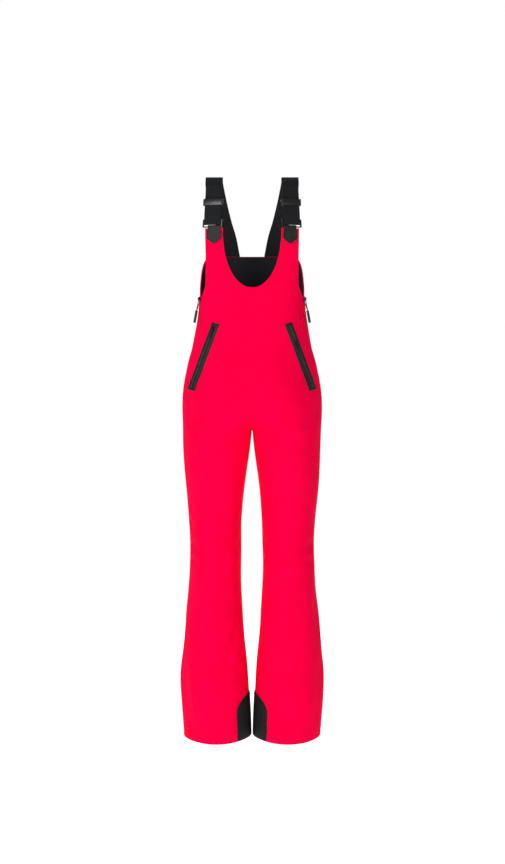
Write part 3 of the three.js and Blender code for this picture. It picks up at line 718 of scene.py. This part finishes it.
def front_height(u, v):
    row = v * (BIB_ROWS + BODY_ROWS)
    if row <= BIB_ROWS:
        return mix(BIB_TOP, NECK_BOTTOM, math.sin(row / BIB_ROWS * math.pi / 2))
    return mix(NECK_BOTTOM, SPLIT, (row - BIB_ROWS) / BODY_ROWS)


def over_hip(piece):
    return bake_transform(piece)


def over_knee(piece):
    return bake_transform(piece)


SIDES = [("left", 1), ("right", -1)]


def top_row(u):
    return BIB_TOP


def waist_row(u):
    return WAIST_SEAM


def split_row(u):
    return SPLIT


def crotch_curl(z):
    return smooth((CROTCH - z) / 40)


for word, side in SIDES:
    rows = [k / (BIB_ROWS + BODY_ROWS) for k in range(BIB_ROWS + BODY_ROWS + 1)]
    front = cloth_grid(
        "shell_front_" + word, spaced(LEG_ARC), rows,
        panel_place(side, seam_angle, front_stop, top_row, split_row, heights=front_height,
                    curls=(1, lambda z: 1 if z > NECK_BOTTOM else crotch_curl(z), 1, 0)),
        SHELL, [softshell, brushed_knit])
    over_hip(front)
    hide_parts("front_panel_" + word, "thigh_front_" + word)

    back = cloth_grid(
        "shell_back_" + word, spaced(LEG_ARC), [*spaced(WAIST_SEAM - SPLIT)[:-3], 1],
        panel_place(side, seam_angle, back_stop, waist_row, split_row, curls=(1, 0.6, 1, 0)),
        SHELL, [softshell, brushed_knit])
    over_hip(back)
    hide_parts("back_panel_" + word, "thigh_back_" + word)

    for part, stop in (("front", inner_angle), ("back", back_stop)):
        lower = cloth_grid(
            f"shell_lower_{part}_{word}", spaced(LEG_ARC), [0, *spaced(SPLIT - HEM)[3:]],
            panel_place(side, lambda z: 0, stop, split_row, hem_at, curls=(1, 1, 0, 1)),
            SHELL, [softshell, brushed_knit])
        over_knee(lower)
        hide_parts(f"shin_{part}_{word}")
print("shell pieces made")

# %% [markdown]
# The back yoke is one piece round the back of the waist. Its top is cut in a curve that
# falls to the sides, where it meets the side zips.

# %% Back yoke
def yoke_top(u):
    return mix(BACK_YOKE_TOP, SIDE_STEP, smooth((abs(u) - 0.28) / 0.5))


def both_sides(place):
    """Turns a place for the left half into one for both, with u from 0 at the right side."""
    def whole(u, v):
        turn = 2 * u - 1
        return place(1 if turn >= 0 else -1, abs(turn), v)
    return whole


def yoke_place(side, u, v):
    z = mix(yoke_top(u), WAIST_SEAM, v)
    seam = seam_angle(z)
    arc = (seam + math.pi / 2) * section(round(z, 2))[1]
    drop = max(curl((1 - u) * arc), curl(yoke_top(u) - z), curl(z - WAIST_SEAM))
    return cloth_point(side, mix(-math.pi / 2, seam, u), z, -EDGE_DROP * drop)


yoke = cloth_grid("shell_back_yoke", spaced(460), spaced(130, 4), both_sides(yoke_place), SHELL,
                  [softshell, brushed_knit])
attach(yoke, "torso")
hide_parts("back_yoke")
print("yoke made")

# %% [markdown]
# Inside: a facing along the neckline, an elastic in the back of the waist, pocket bags, hem
# facings, and the gaiters that close over the boots. They follow the same cut, further in.

# %% Inner pieces
FACING_WIDTH = 28
FACING_TOP = BIB_TOP - 3
LINING = 1.2


def facing_edge(z):
    return angle_of_x(z, max(2, neck_x(z, NECK_HALF_WIDTH + FACING_WIDTH, NECK_BOTTOM - FACING_WIDTH)))


def inner_piece(name, body, node, across, along, place, finish, thickness=LINING):
    piece = cloth_grid(name, across, along, place, thickness, [finish, finish])
    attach(piece, body)
    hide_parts(node)


def facing_height(u, v):
    return mix(FACING_TOP - 28, NECK_BOTTOM - FACING_WIDTH, math.sin(v * math.pi / 2))


for word, side in SIDES:
    inner_piece("bib_facing_band_" + word, "torso", "bib_facing_" + word, spaced(30, 4),
                [k / 60 for k in range(61)],
                panel_place(side, facing_edge, neck_angle, top_row, top_row, -3.4,
                            heights=facing_height), taffeta)
    inner_piece("pocket_bag_cloth_" + word, "torso", "pocket_bag_" + word, spaced(80), spaced(156),
                panel_place(side, lambda z: math.radians(44), lambda z: math.radians(76),
                            lambda u: POCKET_TOP[1] - 8, lambda u: POCKET_BOTTOM[1] - 6, -4.4,
                            curls=(1, 1, 1, 1)), taffeta, 2 * LINING)

ELASTIC_TOP = WAIST_SEAM + 22
ELASTIC_BOTTOM = WAIST_SEAM - 18
ELASTIC_REACH = 0.72


def elastic_place(side, u, v):
    angle = mix(-math.pi / 2, 0, u * ELASTIC_REACH)
    return cloth_point(side, angle, mix(ELASTIC_TOP, ELASTIC_BOTTOM, v), -4.6)


inner_piece("waist_elastic_band", "torso", "waist_elastic", spaced(330, 5), spaced(40, 5),
            both_sides(elastic_place), webbing, 2.2)

HEM_FACING = 34
GAITER_TOP = HEM + 190
GAITER_BOTTOM = HEM + 12
GAITER_LIFT = -7.2
GAITER_INSET = 26
GRIPPER = 22
GATHERS = 46
GATHER_DEPTH = 1.1


def turning(angle):
    return angle - 2 * math.pi if angle > math.pi else angle


def gaiter_place(side, top, bottom, lift_top, lift_bottom, gathers):
    def place(u, v):
        angle = mix(math.radians(93), math.radians(447), u)
        lift = mix(lift_top, lift_bottom, v)
        lift += gathers * smooth((v - 0.35) / 0.6) * math.sin(GATHERS * angle)
        return cloth_point(side, turning(angle), mix(top, bottom, v), lift)
    return place


for word, side in SIDES:
    shin = "shin_" + word
    inner_piece("hem_facing_band_" + word, shin, "hem_facing_" + word, spaced(640), spaced(31),
                panel_place(side, lambda z: math.radians(-178), lambda z: math.radians(178),
                            lambda u: HEM + HEM_FACING,
                            lambda u: HEM + 3 - HEM_DIP * math.sin(u * 2 * math.pi) ** 2, -3.6),
                taffeta)
    inner_piece("gaiter_cloth_" + word, shin, "gaiter_" + word, spaced(620, 3.2), spaced(178, 6),
                gaiter_place(side, GAITER_TOP, GAITER_BOTTOM, GAITER_LIFT, -GAITER_INSET,
                             GATHER_DEPTH), taffeta)
    inner_piece("gaiter_elastic_" + word, shin, "gaiter_gripper_" + word, spaced(500, 5),
                spaced(20, 4),
                gaiter_place(side, GAITER_BOTTOM + GRIPPER, GAITER_BOTTOM + 1,
                             -GAITER_INSET - 3, -GAITER_INSET - 3, 0), webbing)
print("inner pieces made")

# %% [markdown]
# The scuff guards at the ankles are patches of heavy nylon sewn over the inner side of each
# hem, with an arched top. The weave on them is coarse enough to see.

# %% Scuff guards
SCUFF_HEIGHT = 110
SCUFF_REACH = 52
SCUFF_ARCH = 48
SCUFF_LIFT = 1.8
TRIM = 1.2


def scuff_top(u):
    return HEM + SCUFF_HEIGHT - SCUFF_ARCH * (1 - math.sqrt(max(0, 1 - abs(2 * u - 1) ** 2.2)))


def scuff_place(side, lift=SCUFF_LIFT):
    def place(u, v):
        angle = math.pi + math.radians(SCUFF_REACH) * (2 * u - 1)
        low = HEM + 1.2 - HEM_DIP * math.sin(angle) ** 2
        z = mix(scuff_top(u), low, v)
        arc = section(round(z, 2))[1] * 2 * math.radians(SCUFF_REACH)
        drop = max(curl(u * arc), curl((1 - u) * arc), curl(scuff_top(u) - z), curl(z - low))
        return cloth_point(side, turning(angle), z, lift - 0.8 * drop)
    return place


for word, side in SIDES:
    guard = cloth_grid("scuff_guard_patch_" + word, spaced(150, 4), spaced(108, 4),
                       scuff_place(side), TRIM, [scuff_nylon, scuff_nylon])
    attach(guard, "shin_" + word)
    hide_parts("scuff_guard_" + word)
print("scuff guards made")

# %% [markdown]
# Zips and hardware were moulded, so their sharp frame shapes are copied, joined into one
# skin, and given small rounded edges, as a mould leaves them. A tooth or stitch is one small
# cylinder, repeated along a line.

# %% Moulded pieces and rows
def moulded_copy(name, node, body, finish, radius=0.35, keep_angle=25):
    shape = bmesh.new()
    shape.from_mesh(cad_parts[node].data)
    bmesh.ops.remove_doubles(shape, verts=shape.verts, dist=0.002 * MM)
    bmesh.ops.dissolve_limit(shape, angle_limit=math.radians(1), verts=shape.verts,
                             edges=shape.edges)
    edges = [e for e in shape.edges if e.calc_face_angle(0) > math.radians(keep_angle)]
    bmesh.ops.bevel(shape, geom=edges, offset=radius * MM, offset_type="OFFSET", affect="EDGES",
                    segments=2, profile=0.5, material=-1, clamp_overlap=True)
    bmesh.ops.recalc_face_normals(shape, faces=shape.faces)
    piece = make_piece(name, shape, [finish], 60)
    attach(piece, body)
    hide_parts(node)
    return piece


def rod(shape, centre, direction, length, radius, sides=6):
    turn = direction.to_track_quat("Z", "Y").to_matrix().to_4x4()
    bmesh.ops.create_cone(shape, cap_ends=True, segments=sides, radius1=radius * MM,
                          radius2=radius * MM, depth=length * MM,
                          matrix=Matrix.Translation(centre) @ turn)


def sewn(shape, points, pitch=3.4, thread=0.34, gap=0.28):
    """A row of stitches along points in metres."""
    run = 0
    step = pitch * MM
    for a, b in zip(points, points[1:]):
        length = (b - a).length
        while run < length:
            rod(shape, a.lerp(b, run / length), (b - a).normalized(), pitch * (1 - gap), thread)
            run += step
        run -= length


def row_piece(name, shape, finish):
    piece = make_piece(name, shape, [finish], 70)
    return piece


print("rows of stitches every 3.4 mm")

# %% [markdown]
# Each thigh pocket has a welded welt with two raised lips, and the zip's coil between them.
# The welt's lift over the cloth changes across it, which is what makes the lips.

# %% Pocket welts and coils
WELT = 19
WELT_END = 4
LIP_AT = 3.6


def pocket_point(side, along, aside, lift):
    t = along / POCKET_LENGTH
    x = mix(POCKET_TOP[0], POCKET_BOTTOM[0], t) - aside * POCKET_RUN[1] / POCKET_LENGTH
    z = mix(POCKET_TOP[1], POCKET_BOTTOM[1], t) + aside * POCKET_RUN[0] / POCKET_LENGTH
    return cloth_point(side, angle_of_x(round(z, 2), x), z, lift)


def welt_lift(aside, along):
    edge = smooth((WELT / 2 - abs(aside)) / 2)
    end = smooth(min(along + WELT_END, POCKET_LENGTH + WELT_END - along) / 2)
    lip = math.exp(-((abs(aside) - LIP_AT) / 1.1) ** 2)
    closed = smooth(min(along - 1, POCKET_LENGTH - 1 - along) / 3)
    return 1.3 + 1.5 * edge * end + closed * lip * 1.3


for word, side in SIDES:
    def welt_place(u, v):
        along = mix(-WELT_END, POCKET_LENGTH + WELT_END, v)
        aside = (u - 0.5) * WELT
        return pocket_point(side, along, aside, welt_lift(aside, along))

    welt = cloth_grid("pocket_welt_film_" + word, [k / 26 for k in range(27)], spaced(175, 3),
                      welt_place, TRIM, [welded_film, welded_film])
    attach(welt, "torso")
    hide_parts("pocket_welt_" + word)

    teeth = bmesh.new()
    for k in range(int((POCKET_LENGTH - 4) / 2)):
        along = 2 + k * 2
        a, b = (pocket_point(side, along, aside, 3.9) for aside in (-2.2, 2.2))
        rod(teeth, (a + b) / 2, (b - a).normalized(), 4.4, 0.85)
    coil = row_piece("pocket_coil_" + word, teeth, nylon_coil)
    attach(coil, "torso")
    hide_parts("pocket_zip_coil_" + word)

    rows = bmesh.new()
    for aside in (-8.1, 8.1):
        sewn(rows, [pocket_point(side, k, aside, 2.75) for k in range(-3, 172, 4)], 2.6, 0.3)
    for along in (-2.6, POCKET_LENGTH + 2.6):
        sewn(rows, [pocket_point(side, along, a, 2.9) for a in (-7.5, 7.5)], 1.4, 0.4, 0.1)
    stitches = row_piece("pocket_stitching_" + word, rows, black_thread)
    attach(stitches, "torso")

    moulded_copy("pocket_zip_slider_" + word, "pocket_slider_" + word, "pocket_slider_" + word,
                 acetal)
    moulded_copy("pocket_zip_pull_" + word, "pocket_pull_" + word, "pocket_pull_" + word,
                 acetal)
print("pockets made")

# %% [markdown]
# The waist closes with a short zip on each side, dyed to match the cloth. Its slider has a
# loop of cord with a moulded grip, which hangs free.

# %% Side zips
SIDE_ZIP_TOP = SIDE_STEP - 8
SIDE_ZIP_END = -376
SIDE_TAPE = 14
CORD = 1.9
CORD_DROP = 27
BAR_HEIGHT = 3.8
BAR_REACH = 2.7


def side_zip_point(side, aside, z, lift):
    z = round(z, 2)
    return cloth_point(side, seam_angle(z) + aside / section(z)[1], z, lift)


def along_curve(points, step):
    """Points on a smooth curve through the given ones, every step metres."""
    ends = [2 * points[0] - points[1], *points, 2 * points[-1] - points[-2]]
    made = [points[0].copy()]
    for i in range(1, len(ends) - 2):
        a, b, c, d = ends[i - 1:i + 3]
        count = max(1, round((c - b).length / step))
        for k in range(1, count + 1):
            t = k / count
            made.append(0.5 * (2 * b + (c - a) * t + (2 * a - 5 * b + 4 * c - d) * t * t
                               + (3 * b - a - 3 * c + d) * t ** 3))
    return made


for word, side in SIDES:
    def tape_place(u, v):
        aside = (u - 0.5) * SIDE_TAPE
        lift = 1.8 + 0.7 * math.exp(-((abs(aside) - 3) / 1.0) ** 2)
        return side_zip_point(side, aside, mix(SIDE_ZIP_TOP + 6, SIDE_ZIP_END, v), lift)

    tape = cloth_grid("side_zip_tape_cloth_" + word, [k / 20 for k in range(21)], spaced(77, 3),
                      tape_place, TRIM, [softshell, softshell])
    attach(tape, "torso")
    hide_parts("side_zip_tape_" + word)
    teeth = bmesh.new()
    for k in range(35):
        z = SIDE_ZIP_TOP + 2 - k * 2.1
        a, b = (side_zip_point(side, aside, z, 2.6) for aside in (-2, 2))
        rod(teeth, (a + b) / 2, (b - a).normalized(), 4.0, 0.8)
    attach(row_piece("side_zip_teeth_" + word, teeth, dyed_coil), "torso")

    moulded_copy("side_zip_slider_" + word, "side_slider_" + word, "side_slider_" + word, acetal)
    grip = moulded_copy("side_zip_grip_" + word, "side_pull_grip_" + word, "side_pull_" + word,
                        acetal, radius=0.9)

    top, bottom = (side_zip_point(side, 0, z, 0) for z in (SIDE_ZIP_TOP, SIDE_ZIP_END))
    fall = (bottom - top).normalized()
    out = (side_zip_point(side, 0, SIDE_ZIP_TOP, 1) - top).normalized()
    over = fall.cross(out).normalized()
    bar = top + out * (4.0 + BAR_HEIGHT) * MM
    knot = cloth_point(side, seam_angle(SIDE_ZIP_TOP) - math.radians(3), SIDE_ZIP_TOP - CORD_DROP, 10)
    wide = BAR_REACH + 1.3
    route = [knot - over * 1.56 * MM, bar + (fall * 8 - over * wide) * MM,
             bar + (fall * 2 - over * wide) * MM, bar - over * BAR_REACH * MM, bar,
             bar + over * BAR_REACH * MM, bar + (fall * 2 + over * wide) * MM,
             bar + (fall * 8 + over * wide) * MM, knot + over * 1.56 * MM]
    line = along_curve(route, 0.8 * MM)
    data = bpy.data.curves.new("side_zip_cord_" + word, "CURVE")
    data.dimensions = "3D"
    spline = data.splines.new("POLY")
    spline.points.add(len(line) - 1)
    for point, place in zip(spline.points, line):
        point.co = (*place, 1)
    data.bevel_depth = CORD / 2 * MM
    data.bevel_resolution = 3
    data.use_fill_caps = True
    data.materials.append(black_thread)
    cord = bpy.data.objects.new("side_zip_cord_" + word, data)
    bpy.context.scene.collection.objects.link(cord)
    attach(cord, "side_pull_" + word)
    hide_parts("side_pull_cord_" + word)
    cord_length = sum((b - a).length for a, b in zip(line, line[1:]))
    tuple(line[0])
    print("cord length", round(cord_length / MM, 1), "mm")

# %% [markdown]
# Webbing and tabs are flat ribbons: a line to follow, a direction across it, and a width.
# A grid is laid along the line and thickened both ways, and its edges are rounded.

# %% Ribbon
RIBBON_COLUMNS = 10


def ribbon(name, centres, across, widths, thickness, finish, columns=RIBBON_COLUMNS, edge=0.35):
    """A flat ribbon through closely spaced centres, with a direction and width at each."""
    rows = len(centres) - 1
    shape = bmesh.new()
    bmesh.ops.create_grid(shape, x_segments=columns, y_segments=rows, size=0.5)
    uv = shape.loops.layers.uv.new("UVMap")
    run = [0]
    for a, b in zip(centres, centres[1:]):
        run.append(run[-1] + (b - a).length)
    flat = {}
    for vert in shape.verts:
        u, j = vert.co.x, round((vert.co.y + 0.5) * rows)
        along = (centres[min(rows, j + 1)] - centres[max(0, j - 1)]).normalized()
        face_out = along.cross(across[j]).normalized()
        vert.co = centres[j] + face_out.cross(along).normalized() * u * widths[j] * MM
        flat[vert] = Vector((u * widths[j] * MM, run[j]))
    for face in shape.faces:
        for loop in face.loops:
            loop[uv].uv = flat[loop.vert]
    piece = make_piece(name, shape, [finish])
    wall = piece.modifiers.new("wall", "SOLIDIFY")
    wall.thickness = thickness * MM
    wall.offset = 0
    wall.use_even_offset = True
    rounded = piece.modifiers.new("rounded_edge", "BEVEL")
    rounded.width = edge * MM
    rounded.segments = 2
    rounded.limit_method = "ANGLE"
    rounded.angle_limit = math.radians(60)
    bake(piece)
    piece.data.set_sharp_from_angle(angle=math.radians(50))
    return piece


print("a ribbon is", RIBBON_COLUMNS, "faces wide unless it asks for more")

# %% [markdown]
# The bib's corner has its own frame: across it, out of it and up. The buckle's lower bar
# hinges there, a little above the cloth's edge, and the strap leans back from it. Both sides
# are made from the left one, mirrored.

# %% Corner frame
STRAP_X = 98
STRAP_WIDTH = 42
STRAP_THICK = 2.2
BUCKLE_BAR = 2.6
BUCKLE_SLOT = 6.4
TAB_WIDTH = 37
TAB_LENGTH = 42
LAYER_GAP = 0.6
TAB_BACK = 2.4
TAB_STAND = 1.1
TAB_NECK = 32
TAB_INWARD = 5.4

corner_angle = angle_of_x(BIB_TOP, STRAP_X)
corner_point = cloth_point(1, corner_angle, BIB_TOP, -CLOTH / 2)
corner_out = (cloth_point(1, corner_angle, BIB_TOP, 1) - cloth_point(1, corner_angle, BIB_TOP, 0))
corner_out.normalize()
up = Vector((0, 0, 1))
corner_across = up.cross(corner_out).normalized()
hinge = corner_point + up * (LAYER_GAP + BUCKLE_BAR / 2 + 1) * MM
strap_up = (up - 0.15 * corner_out).normalized()
buckle_out = corner_across.cross(strap_up).normalized()
strap_bar = hinge + strap_up * 2 * (BUCKLE_BAR + BUCKLE_SLOT) * MM
print("hinge at", [round(c, 4) for c in hinge])


def mirrored(points, side):
    return [Vector((p.x * side, p.y, p.z)) for p in points]


# %% [markdown]
# The buckle hangs in a tab: a strip of film folded over its lower bar and sewn to both faces
# of the bib's corner. The fold is narrow, to fit the slot, and the front ends in a point. It
# could be cut from a sheet and folded by hand; a ribbon through its side view is simpler.

# %% Tabs
TAB_RADIUS = CLOTH / 2 + LAYER_GAP + TRIM / 2
TURN_RADIUS = TAB_RADIUS + TAB_BACK / 2
front_out = TAB_RADIUS + TAB_STAND
tab_plan = [(front_out, mix(-TAB_LENGTH, -TAB_LENGTH * 0.7, k / 6), mix(2.5, TAB_WIDTH, k / 6))
            for k in range(6)]
tab_plan += [(front_out, mix(-TAB_LENGTH * 0.7, -9, k / 7), TAB_WIDTH) for k in range(8)]
tab_plan += [(front_out, -5, TAB_NECK)]
for k in range(17):
    turn = math.pi * k / 16
    tab_plan.append((-TAB_BACK / 2 + (TURN_RADIUS + TAB_STAND) * math.cos(turn),
                     TURN_RADIUS * math.sin(turn), TAB_NECK))
tab_plan += [(-front_out - TAB_BACK, mix(-5, -24, k / 5), TAB_NECK) for k in range(6)]

for word, side in SIDES:
    centres = [hinge + (corner_out * outward + up * rise - corner_across * TAB_INWARD) * MM
               for outward, rise, _ in tab_plan]
    tab = ribbon("strap_tab_film_" + word, mirrored(centres, side),
                 mirrored([corner_across] * len(centres), side), [w for _, _, w in tab_plan],
                 TRIM, welded_film)
    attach(tab, "torso")
    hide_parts("strap_tab_" + word)

    inset = TAB_WIDTH / 2 - 2.2
    outline = [(-inset, -10), (-inset, -TAB_LENGTH * 0.7 + 1), (0, -TAB_LENGTH + 3.4),
               (inset, -TAB_LENGTH * 0.7 + 1), (inset, -10), (-inset, -10)]
    rows = bmesh.new()
    corners = [hinge + (corner_out * (front_out + TRIM / 2) + up * b
                        + corner_across * (a - TAB_INWARD)) * MM for a, b in outline]
    sewn(rows, mirrored(corners, side), 2.8, 0.32)
    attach(row_piece("strap_tab_stitching_" + word, rows, black_thread), "torso")
print("tabs made")

# %% [markdown]
# The strap comes up behind the buckle, turns round its middle bar, lies over its top bar,
# runs straight through its keeper, over the shoulder and down to the back yoke. The stretch
# through the keeper stays straight, so that the keeper can slide on it.

# %% The strap's line
LOOP_RADIUS = BUCKLE_BAR / 2 + LAYER_GAP + 2.4 / 2 + 0.4
BACK_END_Z = BACK_YOKE_TOP - 30
BACK_END_X = 46
back_angle = -angle_of_x(BACK_END_Z, BACK_END_X)
back_end = cloth_point(1, back_angle, BACK_END_Z, 2.6)
back_out = cloth_point(1, back_angle, BACK_END_Z, 3.6) - back_end
back_across = back_out.cross(up).normalized()


def on_strap(rise, outward):
    return strap_bar + (strap_up * rise + buckle_out * outward) * MM


rest = -1.2
strap_top = STRAP_X - 4
over_shoulder = [
    (strap_top, -74.5, rest - 27), (strap_top, -67.5, rest - 19.5), (strap_top, -56, rest - 13),
    (strap_top, -38, rest - 5), (strap_top, -12, rest),
    (strap_top, 12, rest), (strap_top, 36, rest - 9), (strap_top - 4, 58, rest - 30),
    (strap_top - 11, 75, rest - 62), (strap_top - 21, 87, rest - 102),
    (strap_top - 33, 94, rest - 142),
]
MIDDLE_BAR = -(BUCKLE_BAR + BUCKLE_SLOT)
TURN = 2.9
strap_points = [on_strap(22, -1.6), on_strap(10, -2.9), on_strap(0, -TURN)]
strap_points += [on_strap(MIDDLE_BAR - TURN * math.sin(t), TURN * math.cos(t))
                 for t in [math.pi * (1 - k / 6) for k in range(7)]]
strap_points += [on_strap(0, TURN)]
strap_points += [on_strap(rise, LOOP_RADIUS) for rise in (9, 20, 34, 51, 64, 77)]
straight = len(strap_points)
strap_points += [Vector(p) * MM for p in over_shoulder]
strap_points += [back_end + Vector((8, 0.5, 42)) * MM, back_end, back_end - Vector((1, 0, 8)) * MM]

level = Vector((1, 0, 0))
strap_across = []
for i in range(len(strap_points)):
    k = i - straight
    if k < 2:
        strap_across.append(corner_across.lerp(level, clamp01((k + 1) / 3)).normalized())
    else:
        strap_across.append(level.lerp(back_across, clamp01((k - 5) / 5)).normalized())


def turned_along(points, directions, step):
    """The directions spread over the same smooth curve as along_curve makes."""
    made = [directions[0]]
    for i in range(len(points) - 1):
        count = max(1, round((points[i + 1] - points[i]).length / step))
        for k in range(1, count + 1):
            made.append(directions[i].lerp(directions[i + 1], k / count).normalized())
    return made


STRAP_STEP = 2.4 * MM
strap_line = along_curve(strap_points, STRAP_STEP)
strap_turns = turned_along(strap_points, strap_across, STRAP_STEP)
print("strap length", round(sum((b - a).length for a, b in zip(strap_line, strap_line[1:])), 3), "m")

# %% [markdown]
# When the buckle tips, the strap would bend just below the keeper. A slanting plane is set
# there; it slants so that the far end of the strap, which is lower down at the back, lies on
# the bib's side of it, and how far it lies before the bend is printed.

# %% Buckles, keepers and straps
bend_top = on_strap(25, LOOP_RADIUS)
strap_fall = (buckle_out * 0.65 - strap_up).normalized()
for word, side in SIDES:
    moulded_copy("strap_buckle_" + word, "buckle_" + word, "buckle_" + word, acetal, 0.5)
    moulded_copy("strap_keeper_" + word, "strap_adjuster_" + word, "strap_adjuster_" + word, acetal,
                 0.5)
    strap = ribbon("shoulder_strap_" + word, mirrored(strap_line, side),
                   mirrored(strap_turns, side), [STRAP_WIDTH] * len(strap_line), STRAP_THICK,
                   webbing, 14)
    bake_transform(strap)
    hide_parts("strap_" + word, "strap_end_loop_" + word)
behind = max((p - bend_top).dot(strap_fall) for p in strap_line if p.y > -0.05)
print("the strap's back lies", round(-behind / MM), "mm before the bend")

# %% [markdown]
# At the back a film patch covers the strap ends, sewn with two crossed boxes, and holds the
# loop that the garment hangs from. The loop is a narrower tape than the straps, with finer ribs.

# %% Back patch and loop
PATCH_HALF = 74
PATCH_HEIGHT = 34
PATCH_LIFT = 7.4
PATCH_TOP = BACK_YOKE_TOP - 8


def patch_point(x, z, lift=PATCH_LIFT):
    z = round(z, 2)
    return cloth_point(1 if x >= 0 else -1, -angle_of_x(z, abs(x)), z, lift)


def patch_place(u, v):
    x = (2 * u - 1) * PATCH_HALF
    z = PATCH_TOP - v * PATCH_HEIGHT
    edge = min(PATCH_HALF - abs(x), PATCH_TOP - z, z - PATCH_TOP + PATCH_HEIGHT)
    return patch_point(x, z, PATCH_LIFT - 2.0 * curl(edge) - 1.6 * smooth((abs(x) - 66) / 8))


patch = cloth_grid("back_patch_film", spaced(148, 4), spaced(34, 4), patch_place, TRIM,
                   [welded_film, welded_film])
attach(patch, "torso")
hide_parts("back_patch")

rows = bmesh.new()
for centre in (-44, 44):
    box = [(centre + a, PATCH_TOP - PATCH_HEIGHT / 2 + b) for a, b in
           ((-20, 12), (20, 12), (20, -12), (-20, -12), (-20, 12), (20, -12))]
    cross = [box[3], box[1]]
    for path in (box, cross):
        for (x0, z0), (x1, z1) in zip(path, path[1:]):
            count = max(2, round(math.hypot(x1 - x0, z1 - z0) / 4))
            sewn(rows, [patch_point(mix(x0, x1, k / count), mix(z0, z1, k / count), PATCH_LIFT + 0.1)
                        for k in range(count + 1)], 2.8, 0.34)
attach(row_piece("back_patch_stitching", rows, black_thread), "torso")

loop_webbing, tree, surface = new_material("narrow_polyester_tape", Roughness=0.7,
                                           Specular_IOR_Level=0.35)
tape_ribs = waves(tree, body_place(tree), 1.8, 0)
tree.links.new(between(tree, tape_ribs, "17181A", "2E2F33", 0.1, 0.9), surface.inputs["Base Color"])
raise_surface(tree, surface, tape_ribs, 0.2)
moulded_copy("hanger_loop_tape", "hanger_loop", "hanger_loop", loop_webbing, 0.5)
print("back patch and loop made")

# %% [markdown]
# Topstitching in matching thread holds the turned edges: along the bib, both sides of the
# long seams, the yoke and the hems. Each row is laid on the cloth that it is sewn to.

# %% Topstitching
SEAM_OFFSET = 5.5
THREAD_LIFT = 0.12


def seam_row(side, edge, sign, top, bottom, step=5, offset=SEAM_OFFSET):
    """Points beside an edge given as an angle at each height."""
    points = []
    for k in range(int((top - bottom) / step) + 1):
        z = round(top - k * step, 2)
        centre, half, _, depth, _, _ = section(z)
        points.append(cloth_point(side, edge(z) + sign * offset * 2 / (half + depth), z, THREAD_LIFT))
    return points


for word, side in SIDES:
    rows = bmesh.new()
    sewn(rows, seam_row(side, seam_angle, 1, BIB_TOP - 6, SPLIT))
    neck = []
    for k in range(60):
        z = mix(BIB_TOP - 6, NECK_BOTTOM - SEAM_OFFSET, math.sin(k / 59 * math.pi / 2))
        x = neck_x(z, NECK_HALF_WIDTH + SEAM_OFFSET, NECK_BOTTOM - SEAM_OFFSET)
        neck.append(cloth_point(side, angle_of_x(round(z, 2), x), z, THREAD_LIFT))
    sewn(rows, neck)
    stitches = row_piece("front_topstitching_" + word, rows, red_thread)
    over_hip(stitches)

    rows = bmesh.new()
    sewn(rows, seam_row(side, seam_angle, -1, WAIST_SEAM - 6, SPLIT))
    sewn(rows, seam_row(side, back_stop, 1, WAIST_SEAM - 6, CROTCH + 10))
    sewn(rows, [cloth_point(side, mix(-math.pi / 2, seam_angle(WAIST_SEAM), k / 40),
                            WAIST_SEAM - SEAM_OFFSET, THREAD_LIFT) for k in range(41)])
    over_hip(row_piece("back_topstitching_" + word, rows, red_thread))

    rows = bmesh.new()
    sewn(rows, seam_row(side, lambda z: 0, 1, SPLIT, HEM + 24))
    sewn(rows, seam_row(side, lambda z: 0, -1, SPLIT, HEM + 24))
    for front_side, stop in ((1, inner_angle), (-1, back_stop)):
        for rise in (24, 27):
            sewn(rows, [cloth_point(side, mix(0, stop(HEM), k / 60), hem_at(k / 60) + rise,
                                    THREAD_LIFT) for k in range(61)])
    over_knee(row_piece("leg_topstitching_" + word, rows, red_thread))

    rows = bmesh.new()
    for inset in (4, 7):
        outline = []
        for k in range(70):
            t = k / 69
            u, v = (0.03, mix(0.98, 0.03, t * 3)) if t < 1 / 3 else (
                (mix(0.03, 0.97, t * 3 - 1), 0.04) if t < 2 / 3 else (0.97, mix(0.03, 0.98, t * 3 - 2)))
            shrink = inset / 4
            outline.append(scuff_place(side, SCUFF_LIFT + THREAD_LIFT)(
                mix(u, 0.5, 0.02 * shrink), mix(v, 0.5, 0.05 * shrink)))
        sewn(rows, outline, 3.0, 0.36)
    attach(row_piece("scuff_stitching_" + word, rows, black_thread), "shin_" + word)

rows = bmesh.new()
yoke_rows = both_sides(lambda side, u, v: cloth_point(
    side, mix(-math.pi / 2, seam_angle(round(yoke_top(u) - SEAM_OFFSET, 2)), u),
    yoke_top(u) - SEAM_OFFSET, THREAD_LIFT))
sewn(rows, [yoke_rows(0.015 + 0.97 * k / 120, 0) for k in range(121)])
waist_rows = both_sides(lambda side, u, v: cloth_point(
    side, mix(-math.pi / 2, seam_angle(WAIST_SEAM + 5), u), WAIST_SEAM + 5, THREAD_LIFT))
sewn(rows, [waist_rows(0.02 + 0.96 * k / 120, 0) for k in range(121)])
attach(row_piece("yoke_topstitching", rows, red_thread), "torso")
print("topstitching made")
